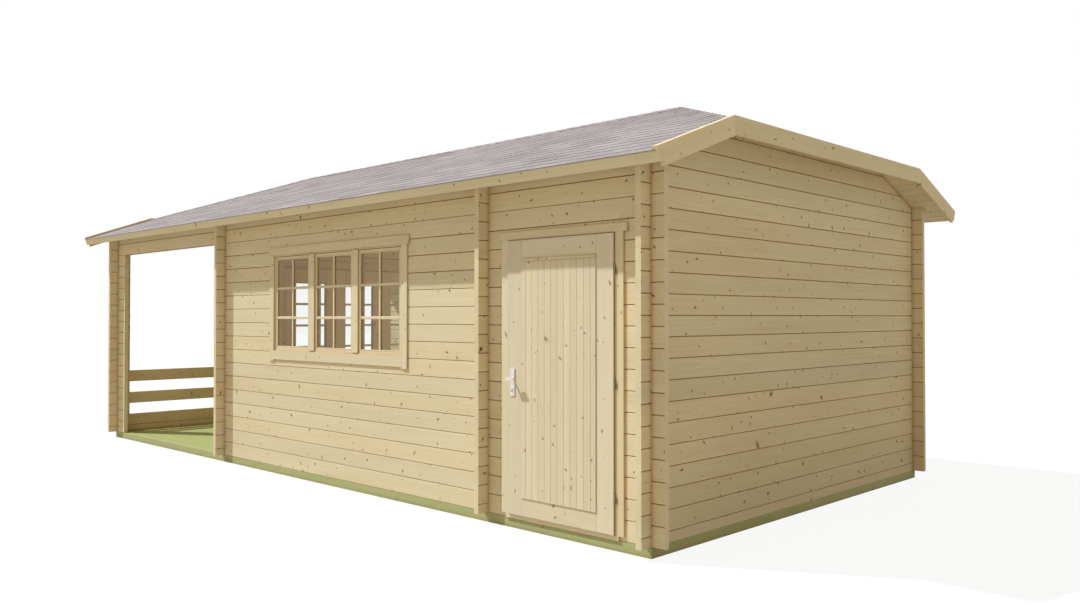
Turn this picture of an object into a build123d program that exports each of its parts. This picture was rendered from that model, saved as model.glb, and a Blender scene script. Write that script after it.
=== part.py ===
from build123d import *
import os
from math import cos, radians, sin, sqrt, tan

# Log cabin with three rooms in a row under one half-hipped roof: an open terrace at the left end,
# a main room with a wide window, and a store room with its own door at the right end.
# Millimetres, +Z up. Origin on the ground under the middle of the plan. X runs along the front,
# with the terrace at -X, and Y runs into the depth, with the front wall at -Y.

# --- Driving dimensions -------------------------------------------------------------------------
LENGTH = 8240.0            # outside face to outside face of the two gables
WIDTH = 3985.0             # outside face of the front wall to outside face of the back wall
LOG_T = 44.0               # thickness of a log
LOG_H = 135.0              # height of one course
BEAM_COURSE = 16           # courses below the beam that spans the terrace
LOG_END = 100.0            # how far logs run past a crossing
NOTCH_FIT = 0.4            # play on each side of a corner notch
GROOVE_H = 8.0             # V groove between two logs: its height at the face
GROOVE_D = 4.0             # and its depth

BEARER_H = 70.0            # height of the treated bearers under the walls
BEARER_GAP = 0.4           # joint between a bearer and a joist
JOIST_PITCH = 560.0        # spacing of the joists
DECK_T = 24.0              # terrace deck boards
FLOOR_T = 19.0             # floor boards of the rooms
FLOOR_GAP = 5.0            # space round a floor

TERRACE_WALL_X = -1320.0   # room side of the wall between terrace and main room
STORE_WALL_X = 2655.0      # store side of the wall between main room and store

ROOF_PITCH = 20.4          # degrees, the same on the long slopes and on the hips
RIDGE_Z = 3285.0           # top of the shingles at the ridge
SHINGLE_T = 6.0
BOARD_T = 68.0             # roof boards, insulation and lining, as one layer
GABLE_OUT = 270.0          # outside face of a barge board beyond the gable wall
EAVE_OUT = 265.0           # end of the roof boards beyond the wall, measured level
HIP_HALF = 1470.0          # half the length of the level edge of a hip
SHINGLE_LIP = 6.0          # shingles past the fascia
RIDGE_LAP = 40.0           # layers are laid over the ridge and cut back on its middle plane

BARGE_T = 22.0
BARGE_H = 124.0
BARGE_RISE = 21.0          # barge board above the shingles
BARGE_TOP = 44.0           # width of its top on the slopes, with the strip on its inner side
BARGE_JOINT = 0.5
FASCIA_T = 22.0
FASCIA_H = 68.0

PURLIN_W = 58.0
PURLIN_H = 140.0
PURLIN_Y = 996.0           # intermediate purlins from the middle of the plan
PURLIN_FIT = 0.4
PURLIN_SEAT = 22.0         # how deep a purlin sits in a gable wall
HIP_RAFTER_W = 44.0
HIP_RAFTER_H = 100.0

BALUSTRADE_LOW = 1.5       # courses in the closed foot of the terrace side
BALUSTRADE_LOGS = (2.5, 4.5)   # courses below each single log over it
GABLE_FILL = 17.5          # courses below the closed top of the terrace side
CORNER_STUB = 200.0        # short front logs past the inner face of the terrace corner

JOINERY_FIT = 0.5          # play between a frame and its hole
LEAF_GAP = 6.0             # round a moving leaf
TRIM_T = 12.5              # cover boards
TRIM_JOINT = 0.5
TRIM_LAP = 10.0            # cover boards over the edge of a hole

WINDOW_X = 648.0           # middle of the window
WINDOW_W = 1980.0          # between the side cover boards
WINDOW_BOTTOM = 1162.0
WINDOW_TOP = 2060.0
WINDOW_TRIM = 70.0
WINDOW_HEAD_TRIM = 72.0
WINDOW_SILL_TRIM = 84.0
WINDOW_TRIM_DROP = 15.0    # side boards below the bottom board
WINDOW_HEAD_PAST = 24.0    # head board past the side boards
WINDOW_FRAME = 18.0        # frame that shows inside the cover boards
WINDOW_DEPTH = 66.0
MULLION_W = 84.0
MULLION_PROUD = 8.0
CASEMENTS = 3
CASEMENT_PLAY = 5.0
CASEMENT_SET = 4.0         # casement face behind the wall face
CASEMENT_T = 40.0
CASEMENT_RAIL = 20.0
GLASS_SET = 10.0           # middle of the glass behind the casement face
GLASS_T = 4.0
GLASS_FIT = 0.5

DOOR_X = 3359.0            # middle of the store door
DOOR_W = 962.0
DOOR_BOTTOM = 102.0
DOOR_TOP = 2012.0
DOOR_T = 42.0
DOOR_LIP_T = 20.0          # part of the leaf that lies over the frame
DOOR_STILE = 142.0
DOOR_RAIL = 124.0
DOOR_SIDE_TRIM = 66.0
DOOR_HEAD_TRIM = 56.0
DOOR_HEAD_PAST = 30.0
DOOR_LAP = 20.0            # leaf over the frame
DOOR_PLAY = 5.0            # between the frame and the part of the leaf inside it
DOOR_REVEAL = 5.0          # leaf back in front of the frame
DOOR_JAMB = 50.0
DOOR_SILL_H = 28.0
PANEL_SET = 8.0            # panel face behind the leaf face
PANEL_BOARD = 59.0         # visible width of one panel board
PANEL_GROOVE_W = 3.0
PANEL_GROOVE_D = 1.5
DRIP_H = 24.0
DRIP_OUT = 14.0

HANDLE_FROM_EDGE = 53.0    # spindle to the free edge of a leaf
HANDLE_Z = 1050.0
KEY_DROP = 74.0
PLATE_W = 44.0
PLATE_UP = 70.0            # plate above the spindle
PLATE_DOWN = 124.0         # plate below the spindle
PLATE_T = 6.0
PLATE_CORNER = 8.0
SPINDLE_D = 16.0
SPINDLE_FIT = 0.3
SPINDLE_BORE = 1.0         # play of the spindle in the leaf
LEVER_REACH = 66.0         # lever in front of the leaf
LEVER_LENGTH = 80.0
LEVER_H = 22.0
LEVER_T = 18.0
KEY_CORE_D = 17.0
KEY_CORE_OUT = 4.0

HINGE_D = 10.0
HINGE_HALF = 32.0          # length of one hinge half
HINGE_GAP = 0.3
HINGE_PIN_D = 5.0
HINGE_PIN_FIT = 0.05
HINGE_PIN_SHORT = 6.0      # pin shorter than the two halves
HINGE_BITE = 1.5           # barrel from the faces of leaf and cover board
HINGE_WING_T = 3.0
HINGE_WING = 18.0
HINGE_MARGIN = 230.0       # hinge middle from the end of a leaf

SCREEN_Y = -30.0           # middle of the folding glazed door to the terrace
LEAF_PITCH = 635.0         # its four equal leaves
SCREEN_LEAVES = 4
SCREEN_GAP = 4.0
SCREEN_SEAT = 0.3          # running play of the leaves on their sill
SCREEN_FRAME = 46.0
SCREEN_TOP = 2062.0        # top of its hole
SCREEN_SILL_H = 28.0
SCREEN_GLASS_W = 385.0
SCREEN_GLASS_TOP = 1856.0
SCREEN_GLASS_BOTTOM = 440.0
SCREEN_LEAF_T = 40.0
SCREEN_TRIM = 60.0

# --- Derived sizes ------------------------------------------------------------------------------
HALF_L = LENGTH / 2
HALF_W = WIDTH / 2
SLOPE = tan(radians(ROOF_PITCH))
PER_COS = 1 / cos(radians(ROOF_PITCH))
BARGE_X = HALF_L + GABLE_OUT              # outside face of a barge board
ROOF_X = BARGE_X - BARGE_T                # end of the roof boards
RIDGE_HALF = BARGE_X - HIP_HALF           # half the length of the ridge
MARGIN = 100.0                            # how far the roof's cutting forms reach past it
CUT = 1.0                                 # how far a cut through a piece starts outside it
ROOF_TOP = RIDGE_Z + MARGIN
FAR = LENGTH + WIDTH                      # longer than anything that is cut
RIGHT_X = HALF_L - LOG_T / 2              # middle planes of the walls
LEFT_X = -RIGHT_X
FRONT_Y = -(HALF_W - LOG_T / 2)
BACK_Y = -FRONT_Y
TERRACE_X = TERRACE_WALL_X - LOG_T / 2
STORE_X = STORE_WALL_X - LOG_T / 2
CROSS_WALLS = (LEFT_X, TERRACE_X, STORE_X, RIGHT_X)
NOTCH_HALF = LOG_T / 2 + NOTCH_FIT        # half the width of a notch
FLAT_FROM = FRONT_Y - NOTCH_HALF          # room sides of walls along Y
FLAT_TO = BACK_Y + NOTCH_HALF
BEAM_Z = BEARER_H + BEAM_COURSE * LOG_H
DOOR_LEFT = DOOR_X - DOOR_W / 2
DOOR_RIGHT = DOOR_X + DOOR_W / 2


def course_z(count):
    """Height of the joint above so many courses."""
    return BEARER_H + count * LOG_H


def roof_z(across, along=0.0, depth=0.0):
    """Height of the roof at a place, so far under the top of the shingles."""
    fall = max(abs(across), abs(along) - RIDGE_HALF)
    return RIDGE_Z - SLOPE * fall - depth * PER_COS


def roof_form(depth):
    """Everything that lies under the half-hipped roof, so far below the top of the shingles."""
    reach_y = HALF_W + EAVE_OUT + 2 * MARGIN
    reach_x = BARGE_X + 2 * MARGIN
    with BuildPart() as form:
        with BuildSketch(Plane.YZ.offset(-reach_x)):
            with BuildLine():
                Polyline(
                    (-reach_y, -MARGIN),
                    (reach_y, -MARGIN),
                    (reach_y, roof_z(reach_y, 0, depth)),
                    (0, roof_z(0, 0, depth)),
                    (-reach_y, roof_z(reach_y, 0, depth)),
                    close=True,
                )
            make_face()
        extrude(amount=2 * reach_x)
        with BuildSketch(Plane.XZ.offset(-reach_y)):
            with BuildLine():
                Polyline(
                    (-reach_x, -2 * MARGIN),
                    (reach_x, -2 * MARGIN),
                    (reach_x, roof_z(0, reach_x, depth)),
                    (RIDGE_HALF, roof_z(0, RIDGE_HALF, depth)),
                    (-RIDGE_HALF, roof_z(0, RIDGE_HALF, depth)),
                    (-reach_x, roof_z(0, reach_x, depth)),
                    close=True,
                )
            make_face()
        extrude(amount=2 * reach_y, mode=Mode.INTERSECT)
    return form.part


UNDER_BOARDS = roof_form(SHINGLE_T + BOARD_T)


def under_roof():
    """Cut the part in hand to the underside of the roof boards."""
    add(UNDER_BOARDS, mode=Mode.INTERSECT)


def block(x0, x1, y0, y1, z0, z1, mode=Mode.ADD):
    """A squared piece between two corners."""
    with Locations(((x0 + x1) / 2, (y0 + y1) / 2, (z0 + z1) / 2)):
        Box(x1 - x0, y1 - y0, z1 - z0, mode=mode)


def log_section(middle, bottom, top, first_joint):
    """The upright section of a log wall: a plank with V grooves where two logs meet."""
    with Locations((middle, (bottom + top) / 2)):
        Rectangle(LOG_T, top - bottom)
    joints = []
    joint = first_joint
    while joint < top - GROOVE_H:
        if joint > bottom + GROOVE_H:
            joints.append(joint)
        joint += LOG_H
    marks = [(middle + side * LOG_T / 2, z) for z in joints for side in (-1, 1)]
    if marks:
        half = GROOVE_H / 2
        with Locations(*marks):
            Polygon((-GROOVE_D, 0), (0, -half), (GROOVE_D, 0), (0, half), mode=Mode.SUBTRACT)


def long_logs(x0, x1, y, bottom, top):
    """Logs along X, whose joints lie at whole courses."""
    with BuildSketch(Plane.YZ.offset(x0)) as section:
        log_section(y, bottom, top, course_z(1))
    extrude(section.sketch, amount=x1 - x0)


def cross_logs(y0, y1, x, bottom, top):
    """Logs along Y, half a course lower than the logs they cross."""
    with BuildSketch(Plane.XZ.offset(-y1)) as section:
        log_section(x, bottom, top, course_z(0.5))
    extrude(section.sketch, amount=y1 - y0)


def flat_long(x0, x1, face, inward, bottom, top):
    """A flat room side on logs along X, where their V grooves are left out."""
    y0, y1 = sorted((face, face + inward * GROOVE_D))
    block(x0, x1, y0, y1, bottom, top)


def flat_cross(face, inward, bottom, top, y0, y1):
    """A flat room side on logs along Y, where their V grooves are left out."""
    x0, x1 = sorted((face, face + inward * GROOVE_D))
    block(x0, x1, y0, y1, bottom, top)


def notch(x, y, first_log, bottom, top):
    """A notch of half its height in the underside of each log, where another wall crosses it."""
    levels = []
    underside = first_log
    while underside < top:
        if underside + LOG_H / 2 > bottom:
            levels.append((x, y, underside + LOG_H / 4))
        underside += LOG_H
    with Locations(*levels):
        Box(2 * NOTCH_HALF, 2 * NOTCH_HALF, LOG_H / 2, mode=Mode.SUBTRACT)


def notch_long(xs, y, bottom, top):
    """Notches of logs along X, where walls along Y cross them."""
    for x in xs:
        notch(x, y, course_z(0), bottom, top)


def notch_cross(x, bottom, top, ys=(FRONT_Y, BACK_Y)):
    """Notches of logs along Y, where the front and back walls cross them."""
    for y in ys:
        notch(x, y, course_z(0.5), bottom, top)


def purlin_gaps(x, through):
    """Seats of the three purlins in a cross wall: right through, or from its room side."""
    for y in (-PURLIN_Y, 0, PURLIN_Y):
        foot = roof_z(y, 0, SHINGLE_T + BOARD_T) - PURLIN_H
        half = PURLIN_W / 2 + PURLIN_FIT
        if through:
            block(x - LOG_T, x + LOG_T, y - half, y + half, foot, ROOF_TOP, Mode.SUBTRACT)
        else:
            outward = 1 if x > 0 else -1
            seat = x + outward * (PURLIN_SEAT + PURLIN_FIT - LOG_T / 2)
            ends = sorted((seat, x - outward * LOG_T))
            block(ends[0], ends[1], y - half, y + half, foot, ROOF_TOP, Mode.SUBTRACT)


def finish(piece, name):
    """Label a sub-part and write its file."""
    piece.part.label = name
    export_step(piece.part, f"parts/{name}.step")


os.makedirs("parts", exist_ok=True)

# --- Base ---------------------------------------------------------------------------------------
room_ends = (
    (LEFT_X, TERRACE_X),
    (TERRACE_X, STORE_X),
    (STORE_X, RIGHT_X),
)
half_bearer = LOG_T / 2

with BuildPart() as base_bearers:
    for y in (FRONT_Y, BACK_Y):
        block(-HALF_L, HALF_L, y - half_bearer, y + half_bearer, 0, BEARER_H)
    inner = HALF_W - LOG_T - BEARER_GAP
    for x in CROSS_WALLS:
        block(x - half_bearer, x + half_bearer, -inner, inner, 0, BEARER_H)
finish(base_bearers, "base_bearers")

with BuildPart() as floor_joists:
    for room, (x0, x1) in enumerate(room_ends):
        height = BEARER_H - DECK_T if room == 0 else BEARER_H
        bays = round((x1 - x0) / JOIST_PITCH)
        for number in range(1, bays):
            x = x0 + number * (x1 - x0) / bays
            block(x - half_bearer, x + half_bearer, -inner, inner, 0, height)
finish(floor_joists, "floor_joists")

with BuildPart() as terrace_deck:
    block(
        LEFT_X + half_bearer + FLOOR_GAP,
        TERRACE_X - half_bearer - FLOOR_GAP,
        -(inner - FLOOR_GAP),
        inner - FLOOR_GAP,
        BEARER_H - DECK_T,
        BEARER_H,
    )
finish(terrace_deck, "terrace_deck")

with BuildPart() as room_floors:
    for x0, x1 in room_ends[1:]:
        block(
            x0 + half_bearer + FLOOR_GAP,
            x1 - half_bearer - FLOOR_GAP,
            -(inner - FLOOR_GAP),
            inner - FLOOR_GAP,
            BEARER_H,
            BEARER_H + FLOOR_T,
        )
finish(room_floors, "room_floors")

# --- Front wall ---------------------------------------------------------------------------------
hole_left = DOOR_LEFT + DOOR_LAP - DOOR_JAMB - JOINERY_FIT
hole_right = DOOR_RIGHT - DOOR_LAP + DOOR_JAMB + JOINERY_FIT
hole_top = DOOR_TOP - DOOR_LAP + DOOR_JAMB + JOINERY_FIT
front_face = -HALF_W
front_inner = -HALF_W + LOG_T
window_left = WINDOW_X - WINDOW_W / 2 - TRIM_LAP
window_right = WINDOW_X + WINDOW_W / 2 + TRIM_LAP
window_foot = WINDOW_BOTTOM - TRIM_LAP
window_head = WINDOW_TOP + TRIM_LAP
start_x = TERRACE_X - LOG_T / 2 - LOG_END
end_x = HALF_L + LOG_END

with BuildPart() as front_wall:
    long_logs(start_x, hole_left, FRONT_Y, BEARER_H, BEAM_Z)
    flat_long(TERRACE_X - NOTCH_HALF, hole_left, front_inner, -1, BEARER_H, BEAM_Z)
    block(
        window_left, window_right, front_face - CUT, front_inner + CUT, window_foot, window_head,
        Mode.SUBTRACT,
    )
    notch_long((TERRACE_X, STORE_X), FRONT_Y, BEARER_H, BEAM_Z)
finish(front_wall, "front_wall")

with BuildPart() as front_wall_right:
    long_logs(hole_right, end_x, FRONT_Y, BEARER_H, BEAM_Z)
    flat_long(hole_right, RIGHT_X + NOTCH_HALF, front_inner, -1, BEARER_H, BEAM_Z)
    notch_long((RIGHT_X,), FRONT_Y, BEARER_H, BEAM_Z)
finish(front_wall_right, "front_wall_right")

with BuildPart() as front_wall_over_door:
    long_logs(hole_left, hole_right, FRONT_Y, hole_top, BEAM_Z)
    flat_long(hole_left, hole_right, front_inner, -1, hole_top, BEAM_Z)
finish(front_wall_over_door, "front_wall_over_door")

with BuildPart() as front_beam:
    long_logs(-end_x, end_x, FRONT_Y, BEAM_Z, ROOF_TOP)
    flat_long(TERRACE_X - NOTCH_HALF, RIGHT_X + NOTCH_HALF, front_inner, -1, BEAM_Z, ROOF_TOP)
    notch_long(CROSS_WALLS, FRONT_Y, BEAM_Z, ROOF_TOP)
    under_roof()
finish(front_beam, "front_beam")

with BuildPart() as back_wall:
    long_logs(-end_x, end_x, BACK_Y, BEARER_H, ROOF_TOP)
    flat_long(TERRACE_X - NOTCH_HALF, RIGHT_X + NOTCH_HALF, -front_inner, 1, BEARER_H, ROOF_TOP)
    notch_long(CROSS_WALLS, BACK_Y, BEARER_H, ROOF_TOP)
    under_roof()
finish(back_wall, "back_wall")

# --- Cross walls --------------------------------------------------------------------------------
end_y = HALF_W + LOG_END

with BuildPart() as right_gable:
    cross_logs(-end_y, end_y, RIGHT_X, BEARER_H, ROOF_TOP)
    flat_cross(HALF_L - LOG_T, 1, BEARER_H, ROOF_TOP, FLAT_FROM, FLAT_TO)
    notch_cross(RIGHT_X, BEARER_H, ROOF_TOP)
    under_roof()
    purlin_gaps(RIGHT_X, False)
finish(right_gable, "right_gable")

with BuildPart() as store_partition:
    cross_logs(-end_y, end_y, STORE_X, BEARER_H, ROOF_TOP)
    flat_cross(STORE_WALL_X, -1, BEARER_H, ROOF_TOP, FLAT_FROM, FLAT_TO)
    flat_cross(STORE_WALL_X - LOG_T, 1, BEARER_H, ROOF_TOP, FLAT_FROM, FLAT_TO)
    notch_cross(STORE_X, BEARER_H, ROOF_TOP)
    under_roof()
    purlin_gaps(STORE_X, True)
finish(store_partition, "store_partition")

screen_half = (SCREEN_LEAVES * LEAF_PITCH + SCREEN_GAP) / 2 + SCREEN_FRAME + JOINERY_FIT
screen_front = SCREEN_Y - screen_half
screen_back = SCREEN_Y + screen_half
screen_course = course_z(int((SCREEN_TOP - BEARER_H) / LOG_H - 0.5) + 0.5)

with BuildPart() as terrace_wall_front:
    cross_logs(-end_y, screen_front, TERRACE_X, BEARER_H, screen_course)
    flat_cross(TERRACE_WALL_X, -1, BEARER_H, screen_course, FLAT_FROM, screen_front)
    notch_cross(TERRACE_X, BEARER_H, screen_course, (FRONT_Y,))
finish(terrace_wall_front, "terrace_wall_front")

with BuildPart() as terrace_wall_back:
    cross_logs(screen_back, end_y, TERRACE_X, BEARER_H, screen_course)
    flat_cross(TERRACE_WALL_X, -1, BEARER_H, screen_course, screen_back, FLAT_TO)
    notch_cross(TERRACE_X, BEARER_H, screen_course, (BACK_Y,))
finish(terrace_wall_back, "terrace_wall_back")

with BuildPart() as terrace_wall_top:
    cross_logs(-end_y, end_y, TERRACE_X, screen_course, ROOF_TOP)
    flat_cross(TERRACE_WALL_X, -1, screen_course, ROOF_TOP, FLAT_FROM, FLAT_TO)
    block(
        TERRACE_X - LOG_T, TERRACE_X + LOG_T, screen_front, screen_back,
        screen_course - CUT, SCREEN_TOP, Mode.SUBTRACT,
    )
    notch_cross(TERRACE_X, screen_course, ROOF_TOP)
    under_roof()
    purlin_gaps(TERRACE_X, True)
finish(terrace_wall_top, "terrace_wall_top")

# --- Terrace side -------------------------------------------------------------------------------
balustrade_top = course_z(BALUSTRADE_LOW)
fill_z = course_z(GABLE_FILL)

with BuildPart() as terrace_balustrade:
    cross_logs(-end_y, end_y, LEFT_X, BEARER_H, balustrade_top)
    for count in BALUSTRADE_LOGS:
        cross_logs(-end_y, end_y, LEFT_X, course_z(count), course_z(count + 1))
    notch_cross(LEFT_X, BEARER_H, course_z(BALUSTRADE_LOGS[-1] + 1))
finish(terrace_balustrade, "terrace_balustrade")

with BuildPart() as left_gable:
    cross_logs(-end_y, end_y, LEFT_X, fill_z, ROOF_TOP)
    notch_cross(LEFT_X, fill_z, ROOF_TOP)
    under_roof()
    purlin_gaps(LEFT_X, False)
finish(left_gable, "left_gable")

stub_levels = []
level = BALUSTRADE_LOW
for count in BALUSTRADE_LOGS:
    stub_levels.append((level, count))
    level = count + 1
stub_levels.append((level, GABLE_FILL))
stub_inner = HALF_W - LOG_T - LOG_END

with BuildPart() as terrace_stubs:
    for side in (-1, 1):
        y0, y1 = sorted((side * end_y, side * stub_inner))
        for low, high in stub_levels:
            cross_logs(y0, y1, LEFT_X, course_z(low), course_z(high))
    notch_cross(LEFT_X, course_z(BALUSTRADE_LOW), fill_z)
    under_roof()
finish(terrace_stubs, "terrace_stubs")

with BuildPart() as terrace_corner:
    long_logs(-end_x, -HALF_L + LOG_T + CORNER_STUB, FRONT_Y, BEARER_H, BEAM_Z)
    notch_long((LEFT_X,), FRONT_Y, BEARER_H, BEAM_Z)
finish(terrace_corner, "terrace_corner")

# --- Purlins and hip rafters --------------------------------------------------------------------
purlin_end = HALF_L - LOG_T + PURLIN_SEAT

with BuildPart() as purlins:
    for y in (-PURLIN_Y, 0, PURLIN_Y):
        foot = roof_z(y, 0, SHINGLE_T + BOARD_T) - PURLIN_H
        block(-purlin_end, purlin_end, y - PURLIN_W / 2, y + PURLIN_W / 2, foot, ROOF_TOP)
    under_roof()
finish(purlins, "purlins")

rafter_start = PURLIN_W / 2 + PURLIN_FIT
rafter_end = PURLIN_Y - PURLIN_W / 2 - PURLIN_FIT
rafter_half = HIP_RAFTER_W / sqrt(2)

with BuildPart() as hip_rafters:
    for side in (-1, 1):
        for hand in (-1, 1):
            with BuildSketch(Plane.XY.offset(BEARER_H)):
                with BuildLine():
                    Polyline(
                        (side * (RIDGE_HALF + rafter_start - rafter_half), hand * rafter_start),
                        (side * (RIDGE_HALF + rafter_start + rafter_half), hand * rafter_start),
                        (side * (RIDGE_HALF + rafter_end + rafter_half), hand * rafter_end),
                        (side * (RIDGE_HALF + rafter_end - rafter_half), hand * rafter_end),
                        close=True,
                    )
                make_face()
            extrude(amount=ROOF_TOP)
    under_roof()
    add(roof_form(SHINGLE_T + BOARD_T + HIP_RAFTER_H), mode=Mode.SUBTRACT)
finish(hip_rafters, "hip_rafters")

# --- Roof skins ---------------------------------------------------------------------------------
eave_run = (HALF_W + EAVE_OUT) * PER_COS    # ridge to the end of the boards, along the slope


def slope_plane(side):
    """The top of the shingles on one long slope, with its origin at the ridge."""
    lean = radians(ROOF_PITCH)
    return Plane(
        origin=(0, 0, RIDGE_Z),
        x_dir=(-side, 0, 0),
        z_dir=(0, side * sin(lean), cos(lean)),
    )


def hip_plane(side):
    """The top of the shingles on one hip, with its origin at the end of the ridge."""
    lean = radians(ROOF_PITCH)
    return Plane(
        origin=(side * RIDGE_HALF, 0, RIDGE_Z),
        x_dir=(0, side, 0),
        z_dir=(side * sin(lean), 0, cos(lean)),
    )


def slope_sector(side):
    """Plan of one long slope, between the ridge, the hips and the eave."""
    with BuildPart() as sector:
        with BuildSketch(Plane.XY):
            with BuildLine():
                Polyline(
                    (-RIDGE_HALF, 0),
                    (RIDGE_HALF, 0),
                    (ROOF_X, side * (ROOF_X - RIDGE_HALF)),
                    (ROOF_X, side * FAR),
                    (-ROOF_X, side * FAR),
                    (-ROOF_X, side * (ROOF_X - RIDGE_HALF)),
                    close=True,
                )
            make_face()
        extrude(amount=ROOF_TOP)
    return sector.part


def hip_sector(side):
    """Plan of one hip, from the end of the ridge to the barge board."""
    with BuildPart() as sector:
        with BuildSketch(Plane.XY):
            with BuildLine():
                Polyline(
                    (side * RIDGE_HALF, 0),
                    (side * ROOF_X, ROOF_X - RIDGE_HALF),
                    (side * ROOF_X, -(ROOF_X - RIDGE_HALF)),
                    close=True,
                )
            make_face()
        extrude(amount=ROOF_TOP)
    return sector.part


def sheet(plane, half_width, run, low, high):
    """A flat layer on a slope: past the ridge at the top, and so far down the slope."""
    with BuildSketch(plane.offset(low)) as layer_outline:
        with Locations((0, (RIDGE_LAP - run) / 2)):
            Rectangle(2 * half_width, run + RIDGE_LAP)
    extrude(layer_outline.sketch, amount=high - low)


hip_run = (ROOF_X - RIDGE_HALF) * PER_COS + MARGIN
slopes = (("front", -1), ("back", 1))
hips = (("left", -1), ("right", 1))
layers = (
    ("roof_boards", eave_run, -(SHINGLE_T + BOARD_T), -SHINGLE_T),
    ("shingles", eave_run + FASCIA_T + SHINGLE_LIP, -SHINGLE_T, 0.0),
)

for layer, run, low, high in layers:
    for place, side in slopes:
        with BuildPart() as skin:
            sheet(slope_plane(side), ROOF_X, run, low, high)
            add(slope_sector(side), mode=Mode.INTERSECT)
        finish(skin, f"{layer}_{place}")
    for place, side in hips:
        with BuildPart() as skin:
            sheet(hip_plane(side), HALF_W, hip_run, low, high)
            add(hip_sector(side), mode=Mode.INTERSECT)
        finish(skin, f"{layer}_hip_{place}")

# --- Fascia and barge boards --------------------------------------------------------------------
with BuildPart() as fascia_boards:
    for side in (-1, 1):
        with BuildSketch(slope_plane(side).offset(-SHINGLE_T)):
            with Locations((0, -(eave_run + FASCIA_T / 2))):
                Rectangle(2 * BARGE_X, FASCIA_T)
        extrude(amount=-FASCIA_H)
finish(fascia_boards, "fascia_boards")

lean = radians(ROOF_PITCH)
down = Vector(cos(lean), -sin(lean))          # down the slope, outwards
under = Vector(-sin(lean), -cos(lean))        # square to the slope, into the roof


def on_gable(run, depth):
    """A point so far down the slope from the ridge and so far under the top of the shingles."""
    return Vector(0, RIDGE_Z) + down * run + under * depth


def both_slopes(plane, thickness, outline):
    """A board of one outline on each of the two slopes of a gable."""
    for hand in (-1, 1):
        with BuildSketch(plane) as board_outline:
            with BuildLine():
                Polyline(*[(hand * point.X, point.Y) for point in outline], close=True)
            make_face()
        extrude(board_outline.sketch, amount=thickness)


joint = down * BARGE_JOINT
fascia_front = eave_run + FASCIA_T
over_fascia = SHINGLE_T - BARGE_JOINT
corner = Vector(HIP_HALF, roof_z(HIP_HALF) + BARGE_RISE * PER_COS)
corner_low = corner + Vector(-BARGE_H * tan(lean / 2), -BARGE_H)
barge_outline = (
    corner + joint,
    on_gable(fascia_front, -BARGE_RISE),
    on_gable(fascia_front, over_fascia),
    on_gable(eave_run - BARGE_JOINT, over_fascia),
    on_gable(eave_run - BARGE_JOINT, BARGE_H - BARGE_RISE),
    corner_low + joint,
)
strip_start = HIP_HALF * PER_COS
strip_outline = (
    on_gable(strip_start, -BARGE_RISE),
    on_gable(fascia_front, -BARGE_RISE),
    on_gable(fascia_front, 0),
    on_gable(strip_start, 0),
)

with BuildPart() as barge_boards:
    for side in (-1, 1):
        outside = side * BARGE_X
        board_plane = Plane.YZ.offset(min(outside, outside - side * BARGE_T))
        with BuildSketch(board_plane):
            with BuildLine():
                Polyline(
                    (corner.X, corner.Y),
                    (corner_low.X, corner_low.Y),
                    (-corner_low.X, corner_low.Y),
                    (-corner.X, corner.Y),
                    close=True,
                )
            make_face()
        extrude(amount=BARGE_T)
        both_slopes(board_plane, BARGE_T, barge_outline)
        top_plane = Plane.YZ.offset(min(outside, outside - side * BARGE_TOP))
        both_slopes(top_plane, BARGE_TOP, strip_outline)
finish(barge_boards, "barge_boards")

# --- Window -------------------------------------------------------------------------------------
frame_left = window_left + JOINERY_FIT
frame_right = window_right - JOINERY_FIT
frame_foot = window_foot + JOINERY_FIT
frame_head = window_head - JOINERY_FIT
frame_inner = front_face + WINDOW_DEPTH
light_left = WINDOW_X - WINDOW_W / 2 + WINDOW_FRAME
light_right = WINDOW_X + WINDOW_W / 2 - WINDOW_FRAME
light_foot = WINDOW_BOTTOM + WINDOW_FRAME - CASEMENT_PLAY
light_head = WINDOW_TOP - WINDOW_FRAME + CASEMENT_PLAY
bay = (light_right - light_left - (CASEMENTS - 1) * MULLION_W) / CASEMENTS

with BuildPart() as window_frame:
    block(frame_left, frame_right, front_face, frame_inner, frame_foot, frame_head)
    for number in range(CASEMENTS):
        x0 = light_left + number * (bay + MULLION_W)
        block(
            x0, x0 + bay, front_face - CUT, frame_inner + CUT, light_foot, light_head,
            Mode.SUBTRACT,
        )
    for number in range(1, CASEMENTS):
        x0 = light_left + number * (bay + MULLION_W) - MULLION_W
        block(x0, x0 + MULLION_W, front_face - MULLION_PROUD, front_face, light_foot, light_head)
finish(window_frame, "window_frame")

casement_front = front_face + CASEMENT_SET
with BuildPart() as window_casements:
    for number in range(CASEMENTS):
        x0 = light_left + number * (bay + MULLION_W) + CASEMENT_PLAY / 2
        x1 = x0 + bay - CASEMENT_PLAY
        z0 = light_foot
        z1 = light_head - CASEMENT_PLAY
        rail = CASEMENT_RAIL
        back = casement_front + CASEMENT_T
        block(x0, x1, casement_front, back, z0, z1)
        block(
            x0 + rail, x1 - rail, casement_front - CUT, back + CUT, z0 + rail, z1 - rail,
            Mode.SUBTRACT,
        )
finish(window_casements, "window_casements")

pane_y = casement_front + GLASS_SET
with BuildPart() as window_glass:
    for number in range(CASEMENTS):
        x0 = light_left + number * (bay + MULLION_W) + CASEMENT_PLAY / 2
        x1 = x0 + bay - CASEMENT_PLAY
        inset = CASEMENT_RAIL + GLASS_FIT
        block(
            x0 + inset, x1 - inset, pane_y - GLASS_T / 2, pane_y + GLASS_T / 2,
            light_foot + inset, light_head - CASEMENT_PLAY - inset,
        )
finish(window_glass, "window_glass")

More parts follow.
